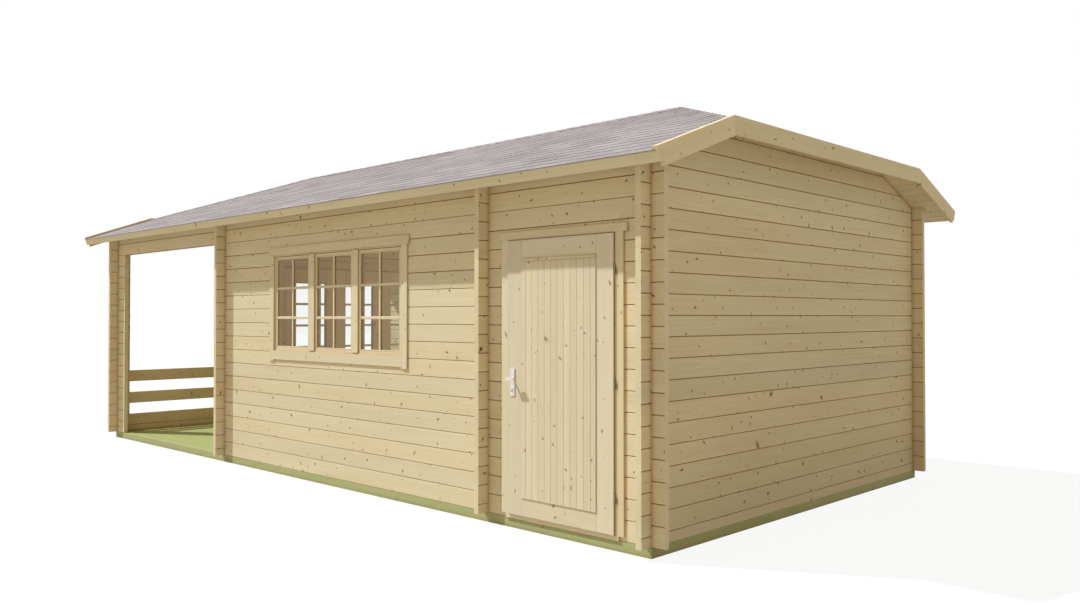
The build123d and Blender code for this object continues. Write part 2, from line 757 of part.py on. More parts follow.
with BuildPart() as window_trim:
    y0 = front_face - TRIM_T
    inner_left = WINDOW_X - WINDOW_W / 2
    inner_right = WINDOW_X + WINDOW_W / 2
    trim_foot = WINDOW_BOTTOM - WINDOW_SILL_TRIM
    for x0, x1 in ((inner_left - WINDOW_TRIM, inner_left), (inner_right, inner_right + WINDOW_TRIM)):
        block(x0, x1, y0, front_face, trim_foot - WINDOW_TRIM_DROP, WINDOW_TOP - TRIM_JOINT)
    block(
        inner_left + TRIM_JOINT, inner_right - TRIM_JOINT, y0, front_face, trim_foot, WINDOW_BOTTOM,
    )
    past = WINDOW_TRIM + WINDOW_HEAD_PAST
    block(
        inner_left - past, inner_right + past, y0, front_face,
        WINDOW_TOP, WINDOW_TOP + WINDOW_HEAD_TRIM,
    )
finish(window_trim, "window_trim")

# --- Store door ---------------------------------------------------------------------------------
jamb_left = hole_left + JOINERY_FIT
jamb_right = hole_right - JOINERY_FIT
jamb_head = hole_top - JOINERY_FIT
lip_back = front_face - DOOR_REVEAL
leaf_front = lip_back - DOOR_LIP_T
leaf_back = leaf_front + DOOR_T

with BuildPart() as store_door_frame:
    clear_head = jamb_head - DOOR_JAMB
    block(
        jamb_left, jamb_left + DOOR_JAMB, front_face, front_inner, BEARER_H + DOOR_SILL_H + TRIM_JOINT,
        clear_head - TRIM_JOINT,
    )
    block(
        jamb_right - DOOR_JAMB, jamb_right, front_face, front_inner,
        BEARER_H + DOOR_SILL_H + TRIM_JOINT, clear_head - TRIM_JOINT,
    )
    block(jamb_left, jamb_right, front_face, front_inner, clear_head, jamb_head)
    block(jamb_left, jamb_right, front_face - TRIM_T, front_inner, BEARER_H, BEARER_H + DOOR_SILL_H)
finish(store_door_frame, "store_door_frame")

with BuildPart() as store_door_trim:
    y0 = front_face - TRIM_T
    foot = BEARER_H + DOOR_SILL_H + TRIM_JOINT
    head = DOOR_TOP + LEAF_GAP
    outer_left = DOOR_LEFT - LEAF_GAP - DOOR_SIDE_TRIM
    outer_right = DOOR_RIGHT + LEAF_GAP + DOOR_SIDE_TRIM
    block(outer_left, outer_left + DOOR_SIDE_TRIM, y0, front_face, foot, head - TRIM_JOINT)
    block(outer_right - DOOR_SIDE_TRIM, outer_right, y0, front_face, foot, head - TRIM_JOINT)
    block(
        outer_left - DOOR_HEAD_PAST, outer_right + DOOR_HEAD_PAST, y0, front_face,
        head, head + DOOR_HEAD_TRIM,
    )
finish(store_door_trim, "store_door_trim")

spindle_x = DOOR_LEFT + HANDLE_FROM_EDGE
panel_left = DOOR_LEFT + DOOR_STILE
panel_right = DOOR_RIGHT - DOOR_STILE
panel_foot = DOOR_BOTTOM + DOOR_RAIL
panel_head = DOOR_TOP - DOOR_RAIL

with BuildPart() as store_door_leaf:
    inset = DOOR_LAP + DOOR_PLAY
    block(DOOR_LEFT, DOOR_RIGHT, leaf_front, lip_back, DOOR_BOTTOM, DOOR_TOP)
    block(DOOR_LEFT + inset, DOOR_RIGHT - inset, lip_back, leaf_back, DOOR_BOTTOM, DOOR_TOP - inset)
    block(
        panel_left, panel_right, leaf_front - CUT, leaf_front + PANEL_SET, panel_foot, panel_head,
        Mode.SUBTRACT,
    )
    grooves = int((panel_right - panel_left) / PANEL_BOARD)
    first_groove = (panel_left + panel_right) / 2 - (grooves - 1) * PANEL_BOARD / 2
    for number in range(grooves):
        x = first_groove + number * PANEL_BOARD
        with BuildSketch(Plane.XY.offset(panel_foot)):
            with BuildLine():
                Polyline(
                    (x - PANEL_GROOVE_W / 2, leaf_front + PANEL_SET),
                    (x, leaf_front + PANEL_SET + PANEL_GROOVE_D),
                    (x + PANEL_GROOVE_W / 2, leaf_front + PANEL_SET),
                    (x, leaf_front + PANEL_SET - PANEL_GROOVE_D),
                    close=True,
                )
            make_face()
        extrude(amount=panel_head - panel_foot, mode=Mode.SUBTRACT)
    with BuildSketch(Plane.YZ.offset(panel_left)):
        with BuildLine():
            Polyline(
                (leaf_front + PANEL_SET, panel_head),
                (leaf_front, panel_head),
                (leaf_front - DRIP_OUT, panel_head - DRIP_H / 2),
                (leaf_front - DRIP_OUT, panel_head - DRIP_H),
                (leaf_front + PANEL_SET, panel_head - DRIP_H),
                close=True,
            )
        make_face()
    extrude(amount=panel_right - panel_left)
    with Locations(Plane.XZ.offset(-leaf_back)):
        with Locations((spindle_x, HANDLE_Z)):
            Cylinder(SPINDLE_D / 2 + SPINDLE_BORE, 2 * DOOR_T, mode=Mode.SUBTRACT)
finish(store_door_leaf, "store_door_leaf")


def plate_outline(x, z):
    """A long plate, and the hole for its spindle."""
    with Locations((x, z + (PLATE_UP - PLATE_DOWN) / 2)):
        RectangleRounded(PLATE_W, PLATE_UP + PLATE_DOWN, PLATE_CORNER)
    with Locations((x, z)):
        Circle(SPINDLE_D / 2 + SPINDLE_FIT, mode=Mode.SUBTRACT)


with BuildPart() as store_door_plates:
    for face, outward in ((leaf_front, 1), (leaf_back, -1)):
        with BuildSketch(Plane.XZ.offset(-face)):
            plate_outline(spindle_x, HANDLE_Z)
        extrude(amount=outward * PLATE_T)
        with BuildSketch(Plane.XZ.offset(-face + outward * PLATE_T)):
            with Locations((spindle_x, HANDLE_Z - KEY_DROP)):
                Circle(KEY_CORE_D / 2)
        extrude(amount=outward * KEY_CORE_OUT)
finish(store_door_plates, "store_door_plates")


with BuildPart() as store_door_lever:
    with Locations(Plane.XZ.offset(-(leaf_front + leaf_back) / 2)):
        with Locations((spindle_x, HANDLE_Z)):
            Cylinder(SPINDLE_D / 2, DOOR_T + 2 * (LEVER_REACH - LEVER_T))
    for face, outward in ((leaf_front, 1), (leaf_back, -1)):
        with BuildSketch(Plane.XZ.offset(-face + outward * (LEVER_REACH - LEVER_T))):
            with Locations((spindle_x - LEVER_H / 2, HANDLE_Z)):
                SlotOverall(LEVER_LENGTH, LEVER_H, align=(Align.MIN, Align.CENTER))
        extrude(amount=outward * LEVER_T)
finish(store_door_lever, "store_door_lever")

hinge_x = DOOR_RIGHT + HINGE_D / 2 + HINGE_BITE
hinge_y = front_face - TRIM_T - HINGE_D / 2 - HINGE_BITE
hinge_levels = (
    DOOR_BOTTOM + HINGE_MARGIN,
    (DOOR_BOTTOM + DOOR_TOP) / 2,
    DOOR_TOP - HINGE_MARGIN,
)

with BuildPart() as store_hinge_posts:
    for z in hinge_levels:
        low = z - HINGE_GAP / 2 - HINGE_HALF
        with Locations((hinge_x, hinge_y, low)):
            Cylinder(HINGE_D / 2, HINGE_HALF, align=(Align.CENTER, Align.CENTER, Align.MIN))
            Cylinder(
                HINGE_PIN_D / 2, 2 * HINGE_HALF - HINGE_PIN_SHORT,
                align=(Align.CENTER, Align.CENTER, Align.MIN),
            )
        block(
            hinge_x, hinge_x + HINGE_WING, front_face - TRIM_T - HINGE_WING_T,
            front_face - TRIM_T, low, low + HINGE_HALF,
        )
finish(store_hinge_posts, "store_hinge_posts")

with BuildPart() as store_hinge_cups:
    for z in hinge_levels:
        low = z + HINGE_GAP / 2
        with Locations((hinge_x, hinge_y, low)):
            Cylinder(HINGE_D / 2, HINGE_HALF, align=(Align.CENTER, Align.CENTER, Align.MIN))
        block(
            DOOR_RIGHT, DOOR_RIGHT + HINGE_WING_T, leaf_front, hinge_y, low, low + HINGE_HALF,
        )
        with Locations((hinge_x, hinge_y, low)):
            Cylinder(
                HINGE_PIN_D / 2 + HINGE_PIN_FIT, HINGE_HALF - HINGE_PIN_SHORT / 2,
                align=(Align.CENTER, Align.CENTER, Align.MIN), mode=Mode.SUBTRACT,
            )
finish(store_hinge_cups, "store_hinge_cups")

# --- Folding door to the terrace ----------------------------------------------------------------
screen_x0 = TERRACE_X - LOG_T / 2
screen_x1 = TERRACE_X + LOG_T / 2
frame_y0 = screen_front + JOINERY_FIT
frame_y1 = screen_back - JOINERY_FIT
frame_top = SCREEN_TOP - JOINERY_FIT
sill_top = BEARER_H + SCREEN_SILL_H
leaf_foot = sill_top + SCREEN_SEAT
leaf_head = frame_top - SCREEN_FRAME - LEAF_GAP

with BuildPart() as terrace_door_frame:
    block(screen_x0, screen_x1, frame_y0, frame_y1, BEARER_H, sill_top)
    block(screen_x0, screen_x1, frame_y0, frame_y1, frame_top - SCREEN_FRAME, frame_top)
    for y0 in (frame_y0, frame_y1 - SCREEN_FRAME):
        block(
            screen_x0, screen_x1, y0, y0 + SCREEN_FRAME, sill_top + TRIM_JOINT,
            frame_top - SCREEN_FRAME - TRIM_JOINT,
        )
finish(terrace_door_frame, "terrace_door_frame")

first_leaf = SCREEN_Y - (SCREEN_LEAVES - 1) * LEAF_PITCH / 2
leaf_middles = [first_leaf + number * LEAF_PITCH for number in range(SCREEN_LEAVES)]
leaf_half = (LEAF_PITCH - SCREEN_GAP) / 2
screen_leaf_x = TERRACE_X - LOG_T / 2 + SCREEN_LEAF_T / 2

with BuildPart() as terrace_door_leaves:
    for y in leaf_middles:
        block(
            screen_leaf_x - SCREEN_LEAF_T / 2, screen_leaf_x + SCREEN_LEAF_T / 2,
            y - leaf_half, y + leaf_half, leaf_foot, leaf_head,
        )
        block(
            screen_leaf_x - SCREEN_LEAF_T, screen_leaf_x + SCREEN_LEAF_T,
            y - SCREEN_GLASS_W / 2, y + SCREEN_GLASS_W / 2, SCREEN_GLASS_BOTTOM, SCREEN_GLASS_TOP,
            Mode.SUBTRACT,
        )
finish(terrace_door_leaves, "terrace_door_leaves")

with BuildPart() as terrace_door_glass:
    for y in leaf_middles:
        half = SCREEN_GLASS_W / 2 - GLASS_FIT
        block(
            screen_leaf_x - GLASS_T / 2, screen_leaf_x + GLASS_T / 2, y - half, y + half,
            SCREEN_GLASS_BOTTOM + GLASS_FIT, SCREEN_GLASS_TOP - GLASS_FIT,
        )
finish(terrace_door_glass, "terrace_door_glass")

with BuildPart() as terrace_door_trim:
    lap = SCREEN_FRAME / 2
    for x0, x1 in ((screen_x0 - TRIM_T, screen_x0), (screen_x1, screen_x1 + TRIM_T)):
        block(
            x0, x1, frame_y0 + lap - SCREEN_TRIM, frame_y0 + lap,
            BEARER_H + FLOOR_T + TRIM_JOINT, frame_top - lap - TRIM_JOINT,
        )
        block(
            x0, x1, frame_y1 - lap, frame_y1 - lap + SCREEN_TRIM,
            BEARER_H + FLOOR_T + TRIM_JOINT, frame_top - lap - TRIM_JOINT,
        )
        block(
            x0, x1, frame_y0 + lap - SCREEN_TRIM, frame_y1 - lap + SCREEN_TRIM,
            frame_top - lap, frame_top - lap + SCREEN_TRIM,
        )
finish(terrace_door_trim, "terrace_door_trim")
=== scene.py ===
import math
import random

import bmesh
import bpy
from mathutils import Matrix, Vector


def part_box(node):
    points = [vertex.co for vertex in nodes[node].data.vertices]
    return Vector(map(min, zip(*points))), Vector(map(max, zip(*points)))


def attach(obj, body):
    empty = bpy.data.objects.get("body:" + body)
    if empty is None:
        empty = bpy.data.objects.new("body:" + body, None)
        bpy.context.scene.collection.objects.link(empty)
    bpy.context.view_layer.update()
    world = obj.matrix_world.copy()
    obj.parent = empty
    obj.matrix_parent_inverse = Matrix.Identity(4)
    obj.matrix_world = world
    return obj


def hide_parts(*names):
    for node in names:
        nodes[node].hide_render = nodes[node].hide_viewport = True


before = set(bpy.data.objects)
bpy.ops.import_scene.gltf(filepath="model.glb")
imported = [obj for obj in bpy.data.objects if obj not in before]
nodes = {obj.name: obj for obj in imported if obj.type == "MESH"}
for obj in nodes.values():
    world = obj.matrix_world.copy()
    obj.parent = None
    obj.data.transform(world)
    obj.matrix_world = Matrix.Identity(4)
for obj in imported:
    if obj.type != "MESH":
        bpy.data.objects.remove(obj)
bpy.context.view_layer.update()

# --- Sizes, in metres ---
LOG_H = 0.135            # one course of logs
LOG_FOOT = 0.070         # underside of the first log of the front and back walls
PITCH = math.radians(20.4)
RIDGE_Z = 3.285
BARGE_X = 4.390
ROOF_X = 4.368           # end of the roof layers
HIP_LENGTH = 1.470       # in plan, from the end of the ridge to the barge boards
RIDGE_HALF = BARGE_X - HIP_LENGTH
SHINGLE_T = 0.006
ROOF_BOARD_T = 0.068
BARGE_TOP = 0.044        # width of the barge boards' top on the slopes
FASCIA_PAST = 0.028      # shingles past the roof boards, down the slope
BEARER_INNER = 1.9483    # the front and back bearers lie further from the middle
HAIR = 1e-6              # as good as nothing

random.seed(20)


# --- Writing node trees ---
class Tree:
    """Short calls for building one node tree."""

    def __init__(self, tree):
        self.tree = tree

    def node(self, kind, **settings):
        made = self.tree.nodes.new(kind)
        for key, value in settings.items():
            setattr(made, key, value)
        return made

    def feed(self, socket, value):
        if isinstance(value, bpy.types.NodeSocket):
            self.tree.links.new(value, socket)
        else:
            socket.default_value = value

    def math(self, operation, *values, clamp=False):
        made = self.node("ShaderNodeMath", operation=operation, use_clamp=clamp)
        for socket, value in zip(made.inputs, values):
            self.feed(socket, value)
        return made.outputs[0]

    def vector(self, operation, *values):
        made = self.node("ShaderNodeVectorMath", operation=operation)
        for socket, value in zip(made.inputs, values):
            self.feed(socket, value)
        return made.outputs["Value" if operation in ("DOT_PRODUCT", "LENGTH") else "Vector"]

    def split(self, vector):
        made = self.node("ShaderNodeSeparateXYZ")
        self.feed(made.inputs[0], vector)
        return made.outputs[0], made.outputs[1], made.outputs[2]

    def join(self, x, y, z):
        made = self.node("ShaderNodeCombineXYZ")
        for socket, value in zip(made.inputs, (x, y, z)):
            self.feed(socket, value)
        return made.outputs[0]

    def noise(self, vector, scale=1.0, detail=2.0, rough=0.5):
        made = self.node("ShaderNodeTexNoise")
        self.feed(made.inputs["Vector"], vector)
        made.inputs["Scale"].default_value = scale
        made.inputs["Detail"].default_value = detail
        made.inputs["Roughness"].default_value = rough
        return made.outputs[0]

    def chance(self, value):
        """Three random numbers from one."""
        made = self.node("ShaderNodeTexWhiteNoise", noise_dimensions="1D")
        self.feed(made.inputs["W"], value)
        return self.split(made.outputs["Color"])

    def step(self, value, low, high):
        """0 below low and 1 above high, smooth between them."""
        made = self.node("ShaderNodeMapRange", interpolation_type="SMOOTHSTEP")
        self.feed(made.inputs["Value"], value)
        self.feed(made.inputs["From Min"], low)
        self.feed(made.inputs["From Max"], high)
        return made.outputs[0]

    def mix(self, factor, first, second):
        made = self.node("ShaderNodeMix", data_type="RGBA")
        self.feed(made.inputs[0], factor)
        self.feed(made.inputs[6], first)
        self.feed(made.inputs[7], second)
        return made.outputs[2]

    def blend(self, factor, first, second):
        """Between two numbers."""
        made = self.node("ShaderNodeMix", data_type="FLOAT")
        self.feed(made.inputs[0], factor)
        self.feed(made.inputs[2], first)
        self.feed(made.inputs[3], second)
        return made.outputs[0]

    def tint(self, color, amount):
        """A colour times a number."""
        return self.vector("MULTIPLY", color, self.join(amount, amount, amount))


def rgb(red, green, blue):
    return (red, green, blue, 1.0)


def material(name):
    """An empty material, its tree and its shader."""
    made = bpy.data.materials.new(name)
    made.use_nodes = True
    tree = Tree(made.node_tree)
    return made, tree, made.node_tree.nodes["Principled BSDF"]


def in_scene(name, data):
    """A new object in the scene."""
    made = bpy.data.objects.new(name, data)
    bpy.context.scene.collection.objects.link(made)
    return made


def bump(tree, shader, height, distance, strength):
    made = tree.node("ShaderNodeBump")
    made.inputs["Strength"].default_value = strength
    made.inputs["Distance"].default_value = distance
    tree.feed(made.inputs["Height"], height)
    tree.feed(shader.inputs["Normal"], made.outputs[0])


# --- Wood ---
GRAIN_SHIFT = (31.0, 3.7)  # along and across: how far apart two boards may take their grain
RING_GAP = 0.0046        # distance between growth rings
RING_WAVER = 0.028       # how far they wander along a board
RING_SLANT = 0.005       # how fast they run out of it
RING_BEND = 0.008        # how far they bend round a knot
LATE_POWER = 2.6         # a higher one makes the dark part of a ring thinner
PITH_DEPTH = 0.045       # the heart of the tree, behind the middle of a board
PITH_SPREAD = (-0.16, 0.07)  # how its place differs across boards and into them

# Knots: cells a metre, the least and most radius, and the power that makes small ones common.
PIN_KNOTS = (8.5, -0.0048, 0.0068, 1.0)
LARGE_KNOTS = (2.6, -0.009, 0.0140, 1.5)
KNOT_LEAST = 0.0015      # a smaller radius makes no knot
KNOT_CORE = 0.65         # where the core starts to fade, in radii
KNOT_RING = 2.2          # where the ring round it ends, in radii
RING_COLOR = rgb(0.38, 0.20, 0.075)
DEAD_KNOT = rgb(0.075, 0.036, 0.014)
LIVE_KNOT = rgb(0.25, 0.105, 0.030)

# What is left of the wood's colour in a joint, a dark line with painted shade on a log's V, and in
# a crevice, where it is painted shade.
JOINT_AND_SHADE_TONE = (0.46, 0.34, 0.19)
JOINT_OVER = (0.0032, 0.0054)  # the joint's line, with painted shade on the V's down-facing side, fades out above the foot of a log
JOINT_UNDER = (0.0004, 0.0024)  # and sooner below its top, on the V's side that faces up into the light
CREVICE = 0.045          # wood nearer than this to other wood lies in a crevice, where shade is painted
CREVICE_SHADE = (0.70, 0.52, 0.33)
CREVICE_OPEN = (0.25, 0.92)  # how open it is with the full painted shade, and without it


def wood_group():
    """Planed softwood. Grain is the place in a board, in metres: along, across and into it."""
    group = bpy.data.node_groups.new("softwood", "ShaderNodeTree")
    sockets = group.interface
    for name, kind in (
        ("Grain", "NodeSocketVector"),
        ("Board", "NodeSocketFloat"),
        ("Pale", "NodeSocketColor"),
        ("Dark", "NodeSocketColor"),
        ("Knots", "NodeSocketFloat"),
    ):
        sockets.new_socket(name, in_out="INPUT", socket_type=kind)
    sockets.new_socket("Color", in_out="OUTPUT", socket_type="NodeSocketColor")
    sockets.new_socket("Height", in_out="OUTPUT", socket_type="NodeSocketFloat")
    t = Tree(group)
    given = t.node("NodeGroupInput")
    grain, board, pale, dark, knots = given.outputs[:5]
    one, two, three = t.chance(board)
    shift_along = t.math("MULTIPLY", one, GRAIN_SHIFT[0])
    shift_across = t.math("MULTIPLY", two, GRAIN_SHIFT[1])
    place = t.vector("ADD", grain, t.join(shift_along, shift_across, 0.0))
    along = t.split(place)[0]

    ragged = t.math("MULTIPLY_ADD", t.noise(place, scale=130.0), 0.9, 0.55)

    def knot(scale, least, most, power):
        """The heart and the ring of the nearest knot, and a random number of its own."""
        cells = t.node("ShaderNodeTexVoronoi", voronoi_dimensions="2D")
        t.feed(cells.inputs["Vector"], place)
        cells.inputs["Scale"].default_value = scale
        size, turn, own = t.split(cells.outputs["Color"])
        radius = t.math("MULTIPLY_ADD", t.math("POWER", size, power), most - least, least)
        radius = t.math("MAXIMUM", radius, 0.0001)
        there = t.math("GREATER_THAN", radius, KNOT_LEAST)
        turned = t.node("ShaderNodeVectorRotate", rotation_type="Z_AXIS")
        t.feed(turned.inputs["Vector"], t.vector("SUBTRACT", place, cells.outputs["Position"]))
        t.feed(turned.inputs["Angle"], t.math("MULTIPLY", turn, 2 * math.pi))
        off_x, off_y, _ = t.split(turned.outputs[0])
        long = t.math("MULTIPLY_ADD", t.math("POWER", own, 2.0), 1.9, 1.0)
        far = t.vector("LENGTH", t.join(t.math("DIVIDE", off_x, long), off_y, 0.0))
        far = t.math("MULTIPLY", far, ragged)
        inner = t.math("MULTIPLY", radius, KNOT_CORE)
        outer = t.math("MULTIPLY", radius, KNOT_RING)
        core = t.math("SUBTRACT", there, t.step(far, inner, radius), clamp=True)
        ring = t.math("SUBTRACT", there, t.step(far, radius, outer), clamp=True)
        return core, ring, own

    small_core, small_ring, _ = knot(*PIN_KNOTS)
    large_core, large_ring, own_tone = knot(*LARGE_KNOTS)
    core = t.math("MULTIPLY", t.math("MAXIMUM", small_core, large_core), knots)
    ring = t.math("MULTIPLY", t.math("MAXIMUM", small_ring, large_ring), knots)

    wander = t.noise(t.vector("MULTIPLY", place, (0.55, 2.5, 2.5)), detail=1.0)
    own_across, own_depth = t.split(grain)[1:]
    pith_across = t.math("MULTIPLY_ADD", two, PITH_SPREAD[0], own_across)
    pith_depth = t.math("ADD", own_depth, PITH_DEPTH)
    pith_depth = t.math("MULTIPLY_ADD", three, PITH_SPREAD[1], pith_depth)
    radius = t.vector("LENGTH", t.join(0.0, pith_across, pith_depth))
    radius = t.math("MULTIPLY_ADD", wander, RING_WAVER, radius)
    radius = t.math("MULTIPLY_ADD", along, RING_SLANT, radius)
    radius = t.math("MULTIPLY_ADD", ring, RING_BEND, radius)
    late = t.math("POWER", t.math("FRACT", t.math("DIVIDE", radius, RING_GAP)), LATE_POWER)

    streak = t.noise(t.vector("MULTIPLY", place, (1.6, 75.0, 75.0)), detail=3.0, rough=0.6)
    cloud = t.noise(t.vector("MULTIPLY", place, (0.8, 7.0, 7.0)), detail=2.0)
    shade = t.math("MULTIPLY_ADD", late, 0.26, t.math("MULTIPLY_ADD", streak, 0.75, -0.30))
    shade = t.math("MULTIPLY_ADD", cloud, 0.70, t.math("ADD", shade, -0.31), clamp=True)
    color = t.mix(shade, pale, dark)
    warm = t.mix(one, rgb(0.975, 0.98, 1.0), rgb(1.0, 0.975, 0.94))
    color = t.vector("MULTIPLY", color, warm)
    color = t.tint(color, t.math("MULTIPLY_ADD", three, 0.075, 0.955))
    color = t.mix(t.math("MULTIPLY", ring, 0.34), color, RING_COLOR)
    live = t.math("MULTIPLY", t.step(own_tone, 0.35, 0.6), large_core)
    heart = t.mix(live, DEAD_KNOT, LIVE_KNOT)
    color = t.mix(t.math("MULTIPLY", core, 0.92), color, heart)
    height = t.math("MULTIPLY_ADD", late, 0.4, t.math("MULTIPLY", streak, 0.8))
    height = t.math("MULTIPLY_ADD", core, -0.8, height)

    given_back = t.node("NodeGroupOutput")
    t.feed(given_back.inputs[0], color)
    t.feed(given_back.inputs[1], height)
    return group


SOFTWOOD = wood_group()

# The pale and the dark tone of each wood.
SPRUCE = (rgb(0.790, 0.665, 0.430), rgb(0.640, 0.485, 0.255))
PINE = (rgb(0.800, 0.680, 0.450), rgb(0.665, 0.512, 0.290))
DOOR_TONES = (rgb(0.785, 0.668, 0.472), rgb(0.690, 0.555, 0.352))
TREATED = (rgb(0.380, 0.406, 0.126), rgb(0.255, 0.287, 0.069))
BEARER_TONES = (rgb(0.435, 0.435, 0.190), rgb(0.315, 0.322, 0.120))
# The balustrade's spruce, made warmer: painted warm bounce light in the terrace's shade.
RAIL_PAINTED_BOUNCE_TONES = (rgb(0.820, 0.662, 0.425), rgb(0.675, 0.488, 0.260))


def planed(tree, shader, grain, board, tones, knots, edge=None):
    """Feeds a shader with softwood, with painted shade in crevices. Edge is 1 in a joint between
    two boards, where a dark line is painted, with painted shade on a log's V.
    """
    made = tree.node("ShaderNodeGroup", node_tree=SOFTWOOD)
    tree.feed(made.inputs["Grain"], grain)
    tree.feed(made.inputs["Board"], board)
    made.inputs["Pale"].default_value = tones[0]
    made.inputs["Dark"].default_value = tones[1]
    tree.feed(made.inputs["Knots"], knots)
    color, height = made.outputs[0], made.outputs[1]
    # A dark line in each joint; on a log it is also painted shade on the V's down-facing side.
    if edge is not None:
        color = tree.mix(edge, color, tree.vector("MULTIPLY", color, JOINT_AND_SHADE_TONE))
    # Painted shade: wood close to other wood, found by ambient occlusion, is darkened to a warm
    # brown.
    around = tree.node("ShaderNodeAmbientOcclusion", samples=6)
    around.inputs["Distance"].default_value = CREVICE
    crevice_shaded = tree.vector("MULTIPLY", color, CREVICE_SHADE)
    color = tree.mix(tree.step(around.outputs["AO"], *CREVICE_OPEN), crevice_shaded, color)
    tree.feed(shader.inputs["Base Color"], color)
    shader.inputs["Roughness"].default_value = 0.62
    shader.inputs["Specular IOR Level"].default_value = 0.32
    bump(tree, shader, height, 0.0006, 0.5)


def wooden(name, lay, tones=SPRUCE, knots=1.0):
    """Wood of a CAD node. Lay gives the place in a board, the board's number and its joint's line.

    It may also give 1 on the sides of a board and 0 on its ends, which show no knots.
    """
    made, t, shader = material(name)
    point = t.split(t.node("ShaderNodeTexCoord").outputs["Object"])
    grain, board, edge, *sides = lay(t, *point)
    planed(t, shader, grain, board, tones, sides[0] if sides else knots, edge)
    return made


def logs(run, middle, foot, seed):
    """Logs along X or Y, stacked up from a foot, with their middle plane at a place.

    The two sides of a log have the joint's line, with painted shade on the V's down-facing side.
    Its ends have none.
    """

    def lay(t, x, y, z):
        side, depth = (x, y) if run == "X" else (y, x)
        high = t.math("SUBTRACT", z, foot)
        count = t.math("FLOOR", t.math("DIVIDE", high, LOG_H))
        local = t.math("SUBTRACT", high, t.math("MULTIPLY", count, LOG_H))
        over = t.math("SUBTRACT", 1.0, t.step(local, *JOINT_OVER))
        from_top = t.math("SUBTRACT", LOG_H, local)
        under = t.math("SUBTRACT", 1.0, t.step(from_top, *JOINT_UNDER))
        normal = t.split(t.node("ShaderNodeTexCoord").outputs["Normal"])[0 if run == "X" else 1]
        on_side = t.math("LESS_THAN", t.math("ABSOLUTE", normal), 0.7)
        edge = t.math("MULTIPLY", t.math("MAXIMUM", over, under), on_side)
        grain = t.join(side, local, t.math("SUBTRACT", depth, middle))
        return grain, t.math("ADD", count, seed), edge, on_side

    return lay


FAR = 9.0                # past every edge
STILE_W = 0.3
OUTER_STILE = 40.0       # these numbers keep the grain of different boards apart
RAIL_NUMBERS = (5.0, 31.0)
SASH_NUMBER = 7.0
BARGE_NUMBERS = (5.0, 70.0)


def framed(run, middle, rails, seed, pitch=0.0, slat=STILE_W, lines=0.0, panel=0.0):
    """Stiles along Z, and rails across them at heights, each so far to both sides of the middle.

    Frames in a row lie a pitch apart, and lines is half the width of the joint at a rail's end.
    A panel, with half its width given, has a joint in its middle and the stiles beyond it.
    """

    def lay(t, x, y, z):
        side, depth = (x, y) if run == "X" else (y, x)
        off = t.math("SUBTRACT", side, middle)
        number = 0.0
        if pitch:
            number = t.math("FLOOR", t.math("MULTIPLY_ADD", off, 1 / pitch, 0.5))
            off = t.math("MULTIPLY_ADD", number, -pitch, off)
        reach = t.math("ABSOLUTE", off)
        is_rail, edge = 0.0, 0.0
        for low, high, half in rails:
            level = t.math("MULTIPLY", t.math("GREATER_THAN", z, low), t.math("LESS_THAN", z, high))
            here = t.math("MULTIPLY", level, t.math("LESS_THAN", reach, half))
            is_rail = t.math("MAXIMUM", is_rail, here)
            close = t.math("LESS_THAN", t.math("ABSOLUTE", t.math("SUBTRACT", reach, half)), lines)
            edge = t.math("MAXIMUM", edge, t.math("MULTIPLY", close, level))
        stile = t.math("FLOOR", t.math("MULTIPLY_ADD", off, 1 / slat, 0.0 if panel else 0.5))
        if panel:
            beyond = t.math("GREATER_THAN", reach, panel)
            stile = t.blend(beyond, stile, t.math("MULTIPLY", t.math("SIGN", off), OUTER_STILE))
        rail = t.math("FLOOR", t.math("MULTIPLY_ADD", z, *RAIL_NUMBERS))
        board = t.blend(is_rail, stile, rail)
        board = t.math("ADD", t.math("MULTIPLY_ADD", number, SASH_NUMBER, board), seed)
        grain = t.join(t.blend(is_rail, z, side), t.blend(is_rail, side, z), depth)
        return grain, board, edge if lines else None

    return lay


BEAM_APART = 0.28        # less than the distance between two beams
BEARERS_A_METRE = 1.3
DIAGONAL = 0.7071        # cosine of 45 degrees


def beams(run, seed):
    """Single timbers along X or Y, told apart by their place to the side."""

    def lay(t, x, y, z):
        side, other = (x, y) if run == "X" else (y, x)
        board = t.math("FLOOR", t.math("MULTIPLY_ADD", other, 1 / BEAM_APART, 0.5))
        return t.join(side, z, other), t.math("ADD", board, seed), None

    return lay


def bearers(t, x, y, z):
    """Along X under the front and back walls, and along Y between them."""
    lengthwise = t.math("GREATER_THAN", t.math("ABSOLUTE", y), BEARER_INNER)
    across = t.blend(lengthwise, x, y)
    board = t.math("FLOOR", t.math("MULTIPLY", across, BEARERS_A_METRE))
    return t.join(t.blend(lengthwise, y, x), z, across), board, None


def hip_timbers(t, x, y, z):
    """Rafters that run out at 45 degrees in plan."""
    out = t.math("ADD", t.math("ABSOLUTE", x), t.math("ABSOLUTE", y))
    side = t.math("SUBTRACT", t.math("ABSOLUTE", x), t.math("ABSOLUTE", y))
    board = t.math("MULTIPLY_ADD", t.math("SIGN", x), 2.0, t.math("SIGN", y))
    along, across = t.math("MULTIPLY", out, DIAGONAL), t.math("MULTIPLY", side, DIAGONAL)
    return t.join(along, z, across), board, None


